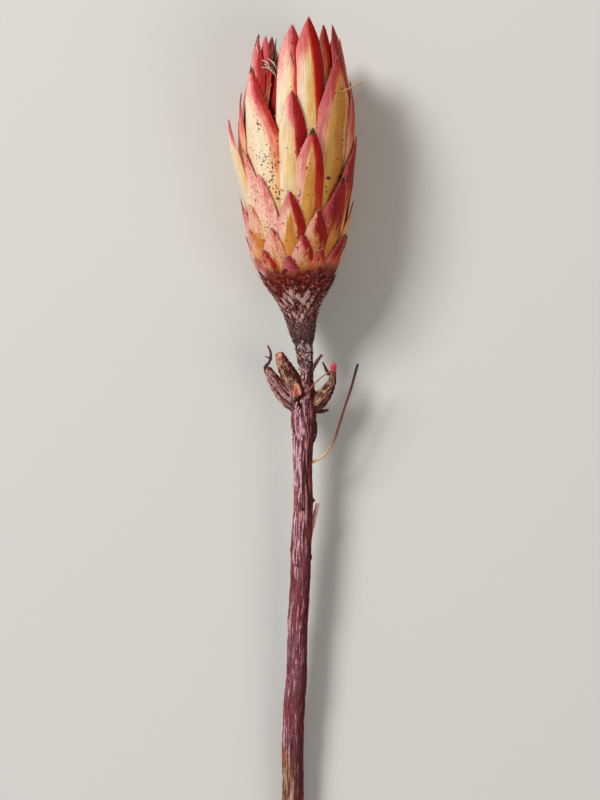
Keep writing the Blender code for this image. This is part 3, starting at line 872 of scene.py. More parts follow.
@dataclass(frozen=True)
class Bract:
    """One bract: where its tip and its lower end are, its half width, its lift, its colours and how much
    painted shade it gets.
    """

    tip: float
    angle: float
    low_angle: float
    half_width: float
    lift: float
    blush: Blush = field(default_factory=Blush)
    shade_across: float = 1.0
    painted_shade: float = 0.0
    dry_length: float = 3.6
    dark_foot: tuple[float, float] = (29.5, 23.0)
    shade_foot_rise: float = 2.4
    shade_tan: float = 0.3
    edge_start: float = 0.86

    def marks(self, part: Callable[[float], float], from_tip: Callable[[float], float],
              shade_level: float) -> Marks:
        """List the attributes that the bracts' material reads.

        Args:
            part: the part across, -1 to 1, from the grid's u.
            from_tip: the distance below the tip from the grid's v.
            shade_level: how much painted shade the bract's colours take as a whole.

        Returns:
            Each attribute's rule.
        """
        blush, tip = self.blush, self.tip
        return {
            "blush": lambda u, v: blush.value(part(u), from_tip(v)),
            # painted shade across the bract from its lit edge to its shaded edge, plus the shade of its place
            # on the head; the tan body and the dark foot lean the same way
            "lit_to_shaded": lambda u, v: self.shade_across * part(u) + shade_level,
            "tan": lambda u, v: blush.tan + self.shade_tan * self.shade_across * part(u),
            "dry": lambda u, v: blush.dry * max(0.0, 1.0 - from_tip(v) / self.dry_length),
            "edge": lambda u, v: smooth_step(self.edge_start, 1.0, abs(part(u))),
            "root": lambda u, v: smooth_step(*self.dark_foot, tip - from_tip(v) - self.shade_foot_rise * shade_level),
            **steady(dusk=blush.dusk, specks=blush.specks, mottle=blush.mottle),
        }


@dataclass
class BractMaker:
    """Shapes bracts on the head, like shingles that lean out from it. Sizes in millimetres.

    Folds give the rise, the waves to the millimetre across and along, and a shift of the pattern. The
    edge's and the tip's part say how much of the wall's thickness is left there.
    """

    shape: HeadShape
    thick: float = 0.62
    proud: float = 0.55
    tip_half_width: float = 0.7
    tip_round: float = 0.35
    low_tip_half_width: float = 1.3
    curve: float = 1.6
    taper: float = 3.2
    low_taper: float = 2.4
    taper_power: float = 0.8
    low_rows: tuple[float, float] = (60.0, 44.0)
    root_width: float = 0.75
    root_start: float = 0.6
    root_sink: float = 0.9
    swing_length: float = 25.0
    lift_length: float = 28.0
    lowest: float = 0.1
    root_along: float = 19.0
    right_shade: float = 0.8
    row_power: float = 1.35
    uneven: float = 0.05
    uneven_waves: float = 0.22
    folds: tuple[Spot, ...] = ((0.16, 0.75, 0.07, 0.0), (0.07, 2.2, 0.12, 5.0), (0.22, 0.16, 0.13, 9.0))
    edge_power: float = 2.5
    edge_part: float = 0.38
    tip_part: float = 0.55
    tip_thinning: float = 6.0
    pattern_step: float = 7.3
    chart_step: float = 1.9
    hairs: int = 40
    hair_reach: float = 0.7
    hair_crowding: float = 1.5
    hair_length: tuple[float, float] = (0.4, 1.1)
    hair_radius: tuple[float, float] = (0.05, 0.08)
    hair_aside: tuple[float, float] = (0.2, 0.9)
    stray: float = 0.35
    stray_up: float = 0.5
    made: int = 0

    def half_width(self, bract: Bract, from_tip: float, length: float) -> float:
        """Half the bract's width at a distance below its tip."""
        rounder = smooth_step(*self.low_rows, bract.tip)
        taper = self.taper + (self.low_taper - self.taper) * rounder
        blunt = self.tip_half_width + (self.low_tip_half_width - self.tip_half_width) * rounder
        full = min(1.0, from_tip / (taper * bract.half_width))
        half = bract.half_width * math.sin(math.pi / 2.0 * full) ** self.taper_power
        low = max(0.0, (from_tip / length - self.root_start) / (1.0 - self.root_start))
        return max(blunt * min(1.0, self.tip_round + from_tip), half * (1.0 - (1.0 - self.root_width) * low))

    def add_hairs(self, piece: Piece, place: Place) -> None:
        """Set short fine hairs along a bract's two edges, closer together near its tip.

        Args:
            piece: the mesh that they go into.
            place: the bract's surface, from u across and v along, in metres.
        """
        chance = random.Random(self.made)
        for _ in range(self.hairs):
            u = float(chance.random() < 0.5)
            v = self.hair_reach * chance.random() ** self.hair_crowding
            foot = place(u, v)
            aside = (foot - place(abs(u - 0.1), v)).normalized()
            ahead = (foot - place(u, v + 0.05)).normalized()
            stray = Vector((chance.uniform(-self.stray, self.stray), chance.uniform(-self.stray, self.stray),
                            chance.uniform(0.0, self.stray_up)))
            way = chance.uniform(*self.hair_aside) * aside + ahead + stray
            length, radius = chance.uniform(*self.hair_length), chance.uniform(*self.hair_radius)
            piece.add_hair(foot, way, length, radius, chance.random())

    def add(self, piece: Piece, bract: Bract, grid: tuple[int, int], hairs: Piece) -> None:
        """Add one bract to a piece.

        Args:
            piece: the mesh that it goes into.
            bract: the bract's place, size and colour.
            grid: faces across and along.
            hairs: the mesh that its hairs go into.
        """
        shape = self.shape
        self.made += 1
        seed = self.pattern_step * self.made
        slope = self.thick / table_value(shape.pitch, bract.tip)
        length = (table_value(shape.depth, bract.tip) + self.root_sink + self.proud) / slope
        length = min(length, bract.tip - self.root_along)
        angle_top, angle_low = math.radians(bract.angle), math.radians(bract.low_angle)
        cache: dict[float, tuple[Vector, Vector, Vector, float]] = {}

        def station(v: float) -> float:
            """Distance below the tip, with closer rows near the tip."""
            return length * v ** self.row_power

        def row(v: float) -> tuple[Vector, Vector, Vector, float]:
            """Centre, sideways and outward directions and half width of one row."""
            key = round(v, 6)
            if key not in cache:
                from_tip = station(v)
                along = bract.tip - from_tip
                angle = angle_top + (angle_low - angle_top) * min(1.0, from_tip / self.swing_length)
                lift = bract.lift
                if lift > 0.0:
                    lift *= max(0.0, 1.0 - (from_tip / self.lift_length) ** 2)
                radius = shape.radius(along, angle) + self.proud - slope * from_tip + lift
                lean = (shape.radius(along + 1.0, angle) - shape.radius(along - 1.0, angle)) / 2.0 + slope
                normal = (shape.outward(angle) - lean * shape.ahead).normalized()
                cache[key] = (shape.point(along, radius, angle), shape.across(angle), normal,
                              self.half_width(bract, from_tip, length))
            return cache[key]

        def place(u: float, v: float) -> Vector:
            """Bend the row round the head, with folds along it and an uneven edge."""
            centre, across, normal, half = row(v)
            part = 1.0 - 2.0 * u
            from_tip = station(v)
            ragged = noise.noise(Vector((seed, from_tip * self.uneven_waves, math.copysign(2.0, part))))
            aside = part * half * (1.0 + self.uneven * ragged)
            rise = 0.0
            for height, waves, waves_along, shift in self.folds:
                rise += height * noise.noise(Vector((aside * waves, from_tip * waves_along, seed + shift)))
            sag = aside ** 2 / (2.0 * self.curve * bract.half_width)
            point = centre + aside * across + (rise - sag) * normal
            point.z = max(point.z, self.lowest)
            return point * MM

        def chart(u: float, v: float) -> tuple[float, float]:
            """Real width and length, shifted so that no two bracts share a pattern."""
            return (1.0 - 2.0 * u) * row(v)[3] / MAP_MM + self.chart_step * seed, station(v) / MAP_MM

        def weight(u: float, v: float) -> float:
            """Full thickness in the middle, thin at the edges and the tip."""
            middle = 1.0 - abs(1.0 - 2.0 * u) ** self.edge_power
            full = smooth_step(0.0, self.tip_thinning, station(v))
            return ((self.edge_part + (1.0 - self.edge_part) * middle)
                    * (self.tip_part + (1.0 - self.tip_part) * full))

        # painted shade: bracts on the head's right-hand side are painted as shaded, those on the left as lit
        shade_level = self.right_shade * math.sin(angle_top) + bract.painted_shade
        marks = bract.marks(lambda u: 1.0 - 2.0 * u, station, shade_level)
        piece.grid(*grid, place, chart, marks, weight)
        self.add_hairs(hairs, place)


@dataclass(frozen=True)
class HiddenRow:
    """A row of like bracts on the side that doesn't show: where it runs and how red and tan it is."""

    name: str
    tip: float
    first: float
    last: float
    count: int
    half_width: float
    lift: float
    reach: float
    tan: float


FRONT_BRACTS: dict[str, tuple[Bract, ...]] = {
    "bracts_crown_middle": (
        Bract(110, 17, 14.5, 5.3, 0.3, Blush(10, 24, 85, 0.2, 0.25, 0.08, 0.1, 0.1, 0.35)),
        Bract(107.5, -7, -8.5, 4.7, -0.3, Blush(15, 20, 46, 0.5, 0.1, 0.12, 0.15, 0.1, 0.6)),
    ),
    "bracts_crown_right": (
        Bract(107.9, 62, 76, 6.4, 0, Blush(30, 20, 50, 0.7, 0.9, 0.05, 0.1, 0, 0, 1)),
        Bract(107.8, 48, 44, 3.2, -1.6, Blush(30, 12, 60, 0, 0.6, 0, 0.1, 0, 0.5, 0.85)),
        Bract(96.8, 53, 37, 6.2, 0.3, Blush(9, 50, 7, 0.1, 0.75, 0.25, 0.15, 0, 0, 0.72), 1.3, -0.1),
    ),
    "bracts_crown_left": (
        Bract(103.2, -62, -54, 5.4, 0, Blush(18, 11, 38, 0.8, 0.1, 0.05, 0.4, 0.7, 0.5, 1), 1.4, 0.1),
        Bract(104, -53, -47, 3.2, -1.4, Blush(22, 18, 26, 0.5, 0.2, 0, 0.4, 0.2, 0.3)),
        Bract(98.6, -44, -44, 2.2, -2.4, Blush(16, 14, 16, 0.2, 1.6, 0, 0.4, 0, 0, 0.9), 0.4, 1.2),
        Bract(95, -31, -31, 4.2, -4.6, Blush(60, 60, 60, 1, 1.2, 0, 0.9, 1, 0), 0.4, 1.4),
    ),
    "bracts_upper_left": (
        Bract(94, -63, -37, 6.8, 0.3, Blush(15, 9, 38, 0.7, 0.05, 0.5, 0.25, 1.5, 0.45, 0.8), 1.3, 0.05),
        Bract(85.4, -86, -80, 5.2, -0.1, Blush(20, 18, 18, 0.3, 0.2, 0.1, 0.1, 0.2, 0.2, 0.8)),
    ),
    "bracts_upper_middle": (
        Bract(85.4, -5, -4, 4.8, 0.2, Blush(13, 8, 75, 0.7, 0.35, 0.2, 0.1, 0.2, 0.5)),
        Bract(73, 15, 11.5, 5.3, 0.3, Blush(6, 40, 46, 0.25, 0.8, 0.2, 0.2, 1.7, 0.6, 0.9)),
    ),
    "bracts_upper_right": (
        Bract(89.1, 82, 76, 4.8, 0, Blush(26, 26, 26, 0.4, 0.4, 0.1, 0.1)),
        Bract(70.4, 78, 64, 5.6, 0.1, Blush(30, 32, 26, 0.7, 0.7, 0.1, 0.15)),
    ),
    "bracts_waist_left": (
        Bract(76.3, -79, -73, 5.2, 3.1, Blush(7, 5, 11, 0.2, 0.05, 0.15, 0.1, 0.2, 0.4), 1, -0.1),
        Bract(66.3, -61, -57, 5.6, 0.1, Blush(15, 10, 20, 0.5, 0.2, 0.4, 0.9, 0.7, 0.3, 0.45), 0.5, -0.5),
    ),
    "bracts_waist_middle": (
        Bract(58, -40, -38, 5.3, 0.1, Blush(14, 12, 26, 0.3, 0.3, 0.6, 0.9, 0.4, 0.3, 0.42), 0.6, -0.4),
        Bract(52, -7, -6, 4.8, 0.2, Blush(6, 16, 25, 0.9, 1, 0.15, 0.7, 0.3, 0.5, 0.8)),
    ),
    "bracts_waist_right": (
        Bract(57, 51, 44, 5.8, 0.1, Blush(18, 30, 22, 1, 1.1, 0.15, 0.5, 0.2, 0)),
        Bract(45.6, 22.5, 27, 4.7, 0.1, Blush(12, 8, 18, 1, 1.9, 0.3, 1, 0.3, 0.5, 0.8), 1.2, 0.3),
    ),
    "bracts_low_left": (
        Bract(49.6, -84, -78, 5, 0, Blush(14, 16, 16, 0.2, 0.6, 0.2, 0.5, 0.2, 0.2, 0.7)),
        Bract(47.6, -57, -54, 5.4, 0.1, Blush(8, 8, 9, 0.15, 1.5, 0.4, 1.2, 0.5, 0.3, 0.2), 0.5, 0.2),
        Bract(39.5, -66, -64, 4.6, 0, Blush(8, 8, 9, 0.6, 1.7, 0.4, 1.2, 0.4, 0.3, 0.38), 0.5, 0.6),
        Bract(39.9, -29, -34, 5, 0, Blush(8, 9, 13, 1.3, 2, 0.4, 1.3, 0.5, 0.3, 0.42), 0.5, 0.1),
    ),
    "bracts_low_right": (
        Bract(37.9, 67, 52, 4.8, 0.1, Blush(13, 16, 13, 0.6, 1.2, 0.15, 0.5, 0.2, 0)),
        Bract(37.5, 7, 9, 4.2, 0.1, Blush(9, 7, 10, 1.8, 2, 0.15, 1.2, 0.3, 0.3, 0.85), 0.7, 0),
    ),
    "bracts_low_middle": (
        Bract(32.5, -42, -44, 4.9, 0, Blush(9, 10, 12, 1.1, 2, 0.3, 1.3, 0.4, 0.2, 0.55), 0.5, 0.7),
        Bract(30.5, -10, -6, 3.7, 0.1, Blush(12, 13, 18, 1.8, 1.8, 0.15, 0.9, 0.3, 0.2, 1), 0.6, -0.1),
    ),
}

HIDDEN_ROWS = (
    HiddenRow("bracts_back_crown", 103.5, 97.0, 250.0, 6, 4.9, 0.0, 16.0, 0.3),
    HiddenRow("bracts_back_inner", 98.0, 80.0, 215.0, 4, 3.6, -2.2, 26.0, 0.3),
    HiddenRow("bracts_back_upper", 92.0, 110.0, 245.0, 5, 5.3, 0.1, 18.0, 0.25),
    HiddenRow("bracts_back_waist", 76.0, 112.0, 258.0, 4, 5.3, 0.0, 15.0, 0.35),
    HiddenRow("bracts_back_middle", 60.0, 108.0, 252.0, 5, 5.3, 0.0, 11.0, 0.45),
    HiddenRow("bracts_back_low", 48.0, 92.0, 262.0, 6, 4.9, 0.0, 9.0, 0.55),
    HiddenRow("bracts_back_foot", 38.0, 103.0, 272.0, 6, 4.3, 0.0, 7.0, 0.65),
    HiddenRow("bracts_foot_ring", 31.5, 28.0, 296.0, 8, 3.9, 0.0, 8.0, 0.6),
)


@dataclass
class FlowerHead:
    """The head: bracts in their layers, the pressed bract that it rests on, and its packed florets."""

    shape: HeadShape
    maker: BractMaker
    wall: float = 0.62
    front_grid: tuple[int, int] = (12, 32)
    back_grid: tuple[int, int] = (8, 22)
    seed: int = 11
    angle_jitter: float = 3.0
    tip_jitter: float = 2.0
    rest_grid: tuple[int, int] = (10, 26)
    rest_length: float = 42.0
    rest_flat: float = 25.0
    rest_rise: float = 3.4
    rest_height: float = 0.06
    rest_edge: float = 0.6
    rest_edge_rise: float = 0.6
    rest_bract: Bract = Bract(79.0, 180.0, 180.0, 5.6, 0.0, Blush(14, 18, 22, 0.4, 0.4, 0.2, 0.3), 0.3)
    heart_ends: tuple[float, float] = (17.0, 77.0)
    heart_width: float = 12.6
    heart_gap: float = 0.5
    heart_ridges: tuple[float, float, float] = (0.35, 3.0, 0.1)
    heart_grid: tuple[int, int] = (56, 60)
    heart_dome: Table = ((0.0, 12.6), (3.0, 11.4), (7.0, 9.2), (11.0, 6.4), (14.5, 3.4), (16.0, 0.6))
    florets: int = 170
    floret_foot: float = 74.0
    floret_top: float = 101.0
    floret_drop: float = 9.0
    floret_uneven: tuple[float, float] = (-2.4, 1.6)
    floret_bulge: float = 1.2
    floret_sway: float = 0.1
    floret_spread: tuple[float, float] = (11.6, 9.8)
    floret_form: Table = ((0.0, 0.8), (0.45, 0.85), (0.8, 0.7), (0.93, 0.45), (1.0, 0.15))
    floret_hairs: int = 3
    floret_hair_length: tuple[float, float] = (0.8, 1.8)
    floret_hair_radius: float = 0.07

    def hidden_groups(self) -> dict[str, tuple[Bract, ...]]:
        """Draw the rows that go on round the back, each bract with its own colours."""
        chance = random.Random(self.seed)
        paint = random.Random(self.seed + 1)
        found = {}
        for row in HIDDEN_ROWS:
            bracts = []
            for number in range(row.count):
                angle = row.first + (row.last - row.first) * number / (row.count - 1)
                angle += chance.uniform(-self.angle_jitter, self.angle_jitter)
                tip = row.tip + chance.uniform(-self.tip_jitter, self.tip_jitter)
                low_angle = angle + chance.uniform(-self.angle_jitter, self.angle_jitter)
                blush = Blush(
                    tip=row.reach * paint.uniform(0.6, 1.2), left=row.reach * paint.uniform(0.5, 2.0),
                    right=row.reach * paint.uniform(0.5, 2.0), dusk=paint.uniform(0.2, 0.85),
                    tan=row.tan + paint.uniform(-0.2, 0.35), specks=paint.uniform(0.05, 0.5),
                    mottle=paint.uniform(0.1, 0.6), dry=paint.uniform(0.0, 0.6),
                    fade=paint.uniform(0.0, 0.5), peak=paint.uniform(0.65, 1.0),
                )
                bracts.append(Bract(tip, angle, low_angle, row.half_width, row.lift, blush, shade_across=0.4))
            found[row.name] = tuple(bracts)
        return found

    def add_rest_bract(self, piece: Piece) -> None:
        """Add the bract that is pressed flat between the head and the surface."""
        bract = self.rest_bract

        def part_at(u: float) -> float:
            """Part across, seen from above."""
            return 2.0 * u - 1.0

        def station(v: float) -> float:
            """Distance below the tip."""
            return self.rest_length * v

        def half_at(v: float) -> float:
            """Half width."""
            return self.maker.half_width(bract, station(v), self.rest_length)

        def place(u: float, v: float) -> Vector:
            """Keep the outside flat, with its edges and its lower end a little up."""
            part = part_at(u)
            past = max(0.0, station(v) - self.rest_flat) / (self.rest_length - self.rest_flat)
            edge = max(0.0, self.rest_edge_rise * (abs(part) - self.rest_edge))
            height = self.rest_height + edge + self.rest_rise * past ** 2
            return Vector((part * half_at(v), self.shape.axis(bract.tip - station(v)).y, height)) * MM

        def chart(u: float, v: float) -> tuple[float, float]:
            """Real width and length."""
            return part_at(u) * half_at(v) / MAP_MM, station(v) / MAP_MM

        piece.grid(*self.rest_grid, place, chart, bract.marks(part_at, station, 0.0), lambda u, v: 1.0)

    def add_heart(self, piece: Piece) -> None:
        """Add the dark closed middle between the bracts, domed at its open end."""
        shape = self.shape
        start, shoulder = self.heart_ends
        dome_length = self.heart_dome[-1][0]
        side_rows = 0.8  # part of the rows that make the sides; the others make the dome
        rise, around, lengthwise = self.heart_ridges

        def place(u: float, v: float) -> Vector:
            """Roll the grid round the axis, below the bracts."""
            turn = FULL_TURN * u
            if v < side_rows:
                along = start + (shoulder - start) * v / side_rows
                radius = shape.radius(along, turn) - table_value(shape.depth, along) - self.heart_gap
                radius = min(radius, self.heart_width) if along > self.floret_foot else radius
            else:
                along = shoulder + dome_length * (v - side_rows) / (1.0 - side_rows)
                radius = table_value(self.heart_dome, along - shoulder)
            spot = Vector((math.cos(turn) * around, math.sin(turn) * around, along * lengthwise))
            radius += rise * noise.noise(spot)
            return shape.point(along, radius, turn) * MM

        made = piece.grid(*self.heart_grid, place, lambda u, v: (9.0 * u, 8.0 * v), steady(reach=0.1))
        piece.close_tube(made)

    def add_florets(self, piece: Piece) -> None:
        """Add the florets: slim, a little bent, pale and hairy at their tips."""
        chance = random.Random(self.seed + 2)
        for number in range(self.florets):
            part = math.sqrt((number + 0.5) / self.florets)
            turn = GOLDEN_ANGLE * number
            foot_radius, tip_radius = self.floret_spread[0] * part, self.floret_spread[1] * part ** 1.1
            foot_along = self.floret_foot + chance.uniform(-1.0, 1.0)
            tip_along = self.floret_top - self.floret_drop * part ** 2 + chance.uniform(*self.floret_uneven)
            sway = chance.uniform(-self.floret_sway, self.floret_sway)
            points = []
            for share, thick in self.floret_form:
                along = foot_along + (tip_along - foot_along) * share
                bulge = self.floret_bulge * math.sin(math.pi * share) * part
                radius = foot_radius + (tip_radius - foot_radius) * share + bulge
                point = self.shape.point(along, radius, turn + sway * share ** 2)
                points.append((*point, thick))
            Route(tuple(points), step=5.0).add_tube(piece, 5)
            for _ in range(self.floret_hairs):
                way = self.shape.ahead + 0.5 * Vector([chance.uniform(-1.0, 1.0) for _ in range(3)])
                length = chance.uniform(*self.floret_hair_length)
                piece.add_hair(Vector(points[-1][:3]) * MM, way, length, self.floret_hair_radius, 1.0)

    def build(self, bract_finish: bpy.types.Material, finishes: Finishes) -> None:
        """Make every piece of the head.

        Args:
            bract_finish: the bracts' material.
            finishes: the strands' materials by name.
        """
        hairs = Piece("edge_hairs")
        for groups, grid in ((FRONT_BRACTS, self.front_grid), (self.hidden_groups(), self.back_grid)):
            for name, bracts in groups.items():
                piece = Piece(name)
                for bract in bracts:
                    self.maker.add(piece, bract, grid, hairs)
                piece.build(Node.HEAD, bract_finish, self.wall, rounding=1)
        hairs.build(Node.HEAD, finishes["edge_hair"])
        rest = Piece("bract_pressed_flat")
        self.add_rest_bract(rest)
        rest.build(Node.HEAD, bract_finish, self.wall, rounding=1)
        heart = Piece("head_heart")
        self.add_heart(heart)
        heart.build(Node.HEAD, finishes["floret"])
        florets = Piece("florets")
        self.add_florets(florets)
        florets.build(Node.HEAD, finishes["floret"])


@dataclass(frozen=True)
class ScaleLook:
    """How felted a scale or a flake is, how much blue-grey painted glint it carries, and how orange it is."""

    felt: float
    frost: float
    glow: float


@dataclass(frozen=True)
class Flake:
    """One torn flake on the peduncle: its lower end, its angle in radians, its size, lean and curl."""

    along: float
    angle: float
    half_width: float
    length: float
    lean: float = 0.1
    curl: float = 0.65


@dataclass
class SmallScales:
    """The small scales in one spiral, from the peduncle up to the lowest bracts. Sizes in millimetres."""

    shape: HeadShape
    first: float = 1.2
    seam: float = 19.0
    last: float = 27.0
    half_width: Table = ((1.2, 0.55), (8.0, 0.8), (14.0, 1.15), (20.0, 1.8), (28.5, 2.9))
    shown: Table = ((1.2, 0.9), (8.0, 1.3), (14.0, 1.8), (20.0, 2.6), (28.5, 4.0))
    proud: float = 0.42
    thick: float = 0.42
    overlap: float = 2.1
    taper: float = 1.9
    least_half_width: float = 0.12
    cupped: float = 2.4
    shift_along: float = 0.22
    shift_around: float = 0.25
    width_range: tuple[float, float] = (0.85, 1.15)
    lift_range: tuple[float, float] = (-0.08, 0.16)
    lowest: float = 0.3
    fine_grid: tuple[int, int] = (6, 8)
    coarse_grid: tuple[int, int] = (4, 5)
    seed: int = 23
    shaded_right_bare: float = 0.7
    felt_above: tuple[float, float] = (5.0, 13.0)
    felt_below: tuple[float, float] = (25.0, 19.0)
    glow_above: tuple[float, float] = (17.0, 24.0)
    core_ends: tuple[float, float] = (-1.0, 21.0)
    hairs: int = 900
    hair_length: tuple[float, float] = (0.4, 1.0)
    hair_radius: tuple[float, float] = (0.06, 0.11)
    core_depth: float = 0.45
    core_grid: tuple[int, int] = (40, 22)
    flakes: int = 230
    flake_grid: tuple[int, int] = (3, 5)
    flake_zone: tuple[float, float] = (-9.5, 1.6)
    flake_width: tuple[float, float] = (0.22, 0.75)
    flake_length: tuple[float, float] = (0.6, 1.9)
    flake_curl: tuple[float, float] = (0.0, 0.7)
    peduncle: Table = ((-10.0, 2.15), (-7.0, 2.15), (-4.0, 2.7), (0.0, 2.9), (2.0, 3.2))
    flake_looks: tuple[ScaleLook, ...] = (
        ScaleLook(1.2, 0.1, 0.0), ScaleLook(1.1, 1.0, 0.0), ScaleLook(0.0, 0.0, 1.3),
        ScaleLook(0.0, 0.0, 0.0), ScaleLook(0.7, 0.3, 0.1), ScaleLook(0.0, 0.0, 0.0),
    )
    set_flakes: tuple[tuple[Flake, ScaleLook], ...] = (
        (Flake(-1.6, math.radians(-18.0), 0.8, 1.9), ScaleLook(1.0, 1.0, 0.0)),
        (Flake(-1.4, math.radians(31.0), 0.7, 1.5), ScaleLook(1.2, 0.0, 0.5)),
        (Flake(-4.2, math.radians(-33.0), 0.9, 2.0), ScaleLook(0.5, 0.0, 1.4)),
        (Flake(-4.0, math.radians(-6.0), 0.6, 1.6), ScaleLook(0.3, 0.0, 1.4)),
        (Flake(-7.6, math.radians(-10.0), 0.8, 3.0), ScaleLook(0.9, 0.9, 0.0)),
        (Flake(0.4, math.radians(-8.0), 0.5, 2.2), ScaleLook(1.3, 0.2, 0.0)),
    )

    def spiral(self) -> list[tuple[float, float, float, float]]:
        """Walk up the spiral.

        Returns:
            Tip's place along the axis, angle, half width and shown length of each scale.
        """
        found = []
        along, angle = self.first, 0.0
        while along < self.last:
            half = table_value(self.half_width, along)
            shown = table_value(self.shown, along)
            found.append((along, angle, half, shown))
            angle = (angle + GOLDEN_ANGLE) % FULL_TURN
            along += 2.0 * half * shown / (FULL_TURN * table_value(self.shape.outline, along))
        return found

    def add(self, piece: Piece, tip: float, angle: float, half_width: float, shown: float,
            chance: random.Random) -> None:
        """Add one scale: rounded, pointed and a little cupped, with a felted face.

        Args:
            piece: the mesh that it goes into.
            tip: its tip's place along the axis.
            angle: where it stands round the axis.
            half_width, shown: half its width, and how much of its length the next ones leave free.
            chance: draws what makes it differ from the others.
        """
        shape = self.shape
        tip += chance.uniform(-self.shift_along, self.shift_along) * shown
        aside = chance.uniform(-self.shift_around, self.shift_around) * half_width
        angle += aside / table_value(shape.outline, tip)
        half_width *= chance.uniform(*self.width_range)
        length = self.overlap * shown
        slope = (0.35 + 0.075 * shown) / shown
        lift = chance.uniform(*self.lift_range)
        shift = chance.uniform(0.0, CHART_ROOM)
        # painted shade: scales on the right-hand side lose much of their felt and their orange highlight
        bare = 1.0 - self.shaded_right_bare * smooth_step(0.1, 0.9, math.sin(angle))
        felt_here = smooth_step(*self.felt_below, tip) * smooth_step(*self.felt_above, tip)
        felt_here *= chance.uniform(0.0, 1.4) * bare
        glow_and_highlight = smooth_step(*self.glow_above, tip) * chance.uniform(0.1, 1.1) * bare

        def half_at(v: float) -> float:
            """Half width at a part of the length below the tip."""
            full = min(1.0, v * length / (self.taper * half_width))
            return max(self.least_half_width, half_width * math.sin(math.pi / 2.0 * full) ** 0.75)

        def place(u: float, v: float) -> Vector:
            """Lay the scale on the cone, with its tip standing off."""
            from_tip = v * length
            along = tip - from_tip
            radius = shape.radius(along, angle) + self.proud + lift - slope * from_tip
            aside = (1.0 - 2.0 * u) * half_at(v)
            sag = aside ** 2 / (self.cupped * half_width)
            point = shape.point(along, radius - sag, angle) + aside * shape.across(angle)
            point.z = max(point.z, self.lowest)
            return point * MM

        def chart(u: float, v: float) -> tuple[float, float]:
            """Real length, and about twice the width, shifted to a place of its own."""
            return shift + u * half_width / 5.0, v * length / MAP_MM

        def felt(u: float, v: float) -> float:
            """Cover the face with felt, short of its edges and its tip."""
            return felt_here * smooth_step(0.95, 0.3, abs(1.0 - 2.0 * u)) * smooth_step(0.02, 0.2, v)

        def glow(u: float, v: float) -> float:
            """Paint an orange highlight on the middle of the face, so that its edges stand out dark."""
            return glow_and_highlight * smooth_step(0.9, 0.3, abs(1.0 - 2.0 * u)) * smooth_step(0.02, 0.15, v)

        def weight(u: float, v: float) -> float:
            """Full thickness in the middle, thin at the edges and the tip."""
            return 0.4 + 0.6 * smooth_step(1.0, 0.6, abs(1.0 - 2.0 * u)) * smooth_step(0.0, 0.3, v)

        marks = {"felt": felt, "glow": glow, **steady(
            earth=smooth_step(13.0, 6.0, tip), soot=0.9 * smooth_step(4.5, 1.5, tip), frost=0.0)}
        grid = self.fine_grid if tip > self.seam else self.coarse_grid
        piece.grid(*grid, place, chart, marks, weight)

    def add_flake(self, piece: Piece, flake: Flake, marks: Marks, shift: float) -> None:
        """Add one flake that lies on the peduncle, with its tip curled off.

        Args:
            piece: the mesh that it goes into.
            flake: its place and form.
            marks: its attributes.
            shift: its own place on the map.
        """
        shape = self.shape
        foot_radius = table_value(self.peduncle, flake.along) - 0.1

        def place(u: float, v: float) -> Vector:
            """Lay the flake on the peduncle, with its tip curled off."""
            reach = (1.0 - v) * flake.length
            part = 1.0 - 2.0 * u
            aside = part * flake.half_width * (1.0 - (1.0 - v) ** 2 * 0.8) + flake.lean * reach
            radius = foot_radius + 0.12 + flake.curl * (reach / flake.length) ** 2
            radius -= 0.3 * part ** 2 * flake.half_width
            point = shape.point(flake.along + reach, radius, flake.angle)
            return (point + aside * shape.across(flake.angle)) * MM

        def chart(u: float, v: float) -> tuple[float, float]:
            """Real length, and about twice the width, shifted to a place of its own."""
            return shift + u * flake.half_width / 5.0, v * flake.length / MAP_MM

        piece.grid(*self.flake_grid, place, chart, marks, lambda u, v: 0.5)

    def add_flakes(self, piece: Piece) -> None:
        """Add the torn flakes and shreds round the peduncle, below the cone."""
        chance = random.Random(self.seed + 1)
        for _ in range(self.flakes):
            along, angle = chance.uniform(*self.flake_zone), chance.uniform(-math.pi, math.pi)
            half_width, length = chance.uniform(*self.flake_width), chance.uniform(*self.flake_length)
            lean, curl = chance.uniform(-1.0, 1.0), chance.uniform(*self.flake_curl)
            curl *= smooth_step(0.0, 1.0, chance.random())
            look = chance.choice(self.flake_looks)
            marks = steady(felt=look.felt, frost=look.frost, glow=look.glow, earth=chance.uniform(0.0, 0.7),
                           soot=chance.uniform(0.1, 0.8) * (look.glow < 0.5))
            flake = Flake(along, angle, half_width, length, lean, curl)
            self.add_flake(piece, flake, marks, chance.uniform(0.0, CHART_ROOM))
        for flake, look in self.set_flakes:
            marks = steady(felt=look.felt, frost=look.frost, glow=look.glow, earth=0.2, soot=0.0)
            self.add_flake(piece, flake, marks, flake.along)

    def add_core(self, piece: Piece) -> None:
        """Add the closed cone that the scales grow from."""
        shape = self.shape
        low, high = self.core_ends

        def place(u: float, v: float) -> Vector:
            """Roll the grid round the axis, just under the scales."""
            along = low + (high - low) * v
            turn = FULL_TURN * u
            radius = shape.radius(max(0.0, along), turn) - self.core_depth
            return shape.point(along, radius, turn) * MM

        marks = {"earth": lambda u, v: smooth_step(0.5, 0.2, v),
                 "soot": lambda u, v: smooth_step(0.25, 0.1, v),
                 **steady(felt=0.0, frost=0.0, glow=0.0)}
        piece.close_tube(piece.grid(*self.core_grid, place, lambda u, v: (6.0 * u, 2.2 * v), marks))

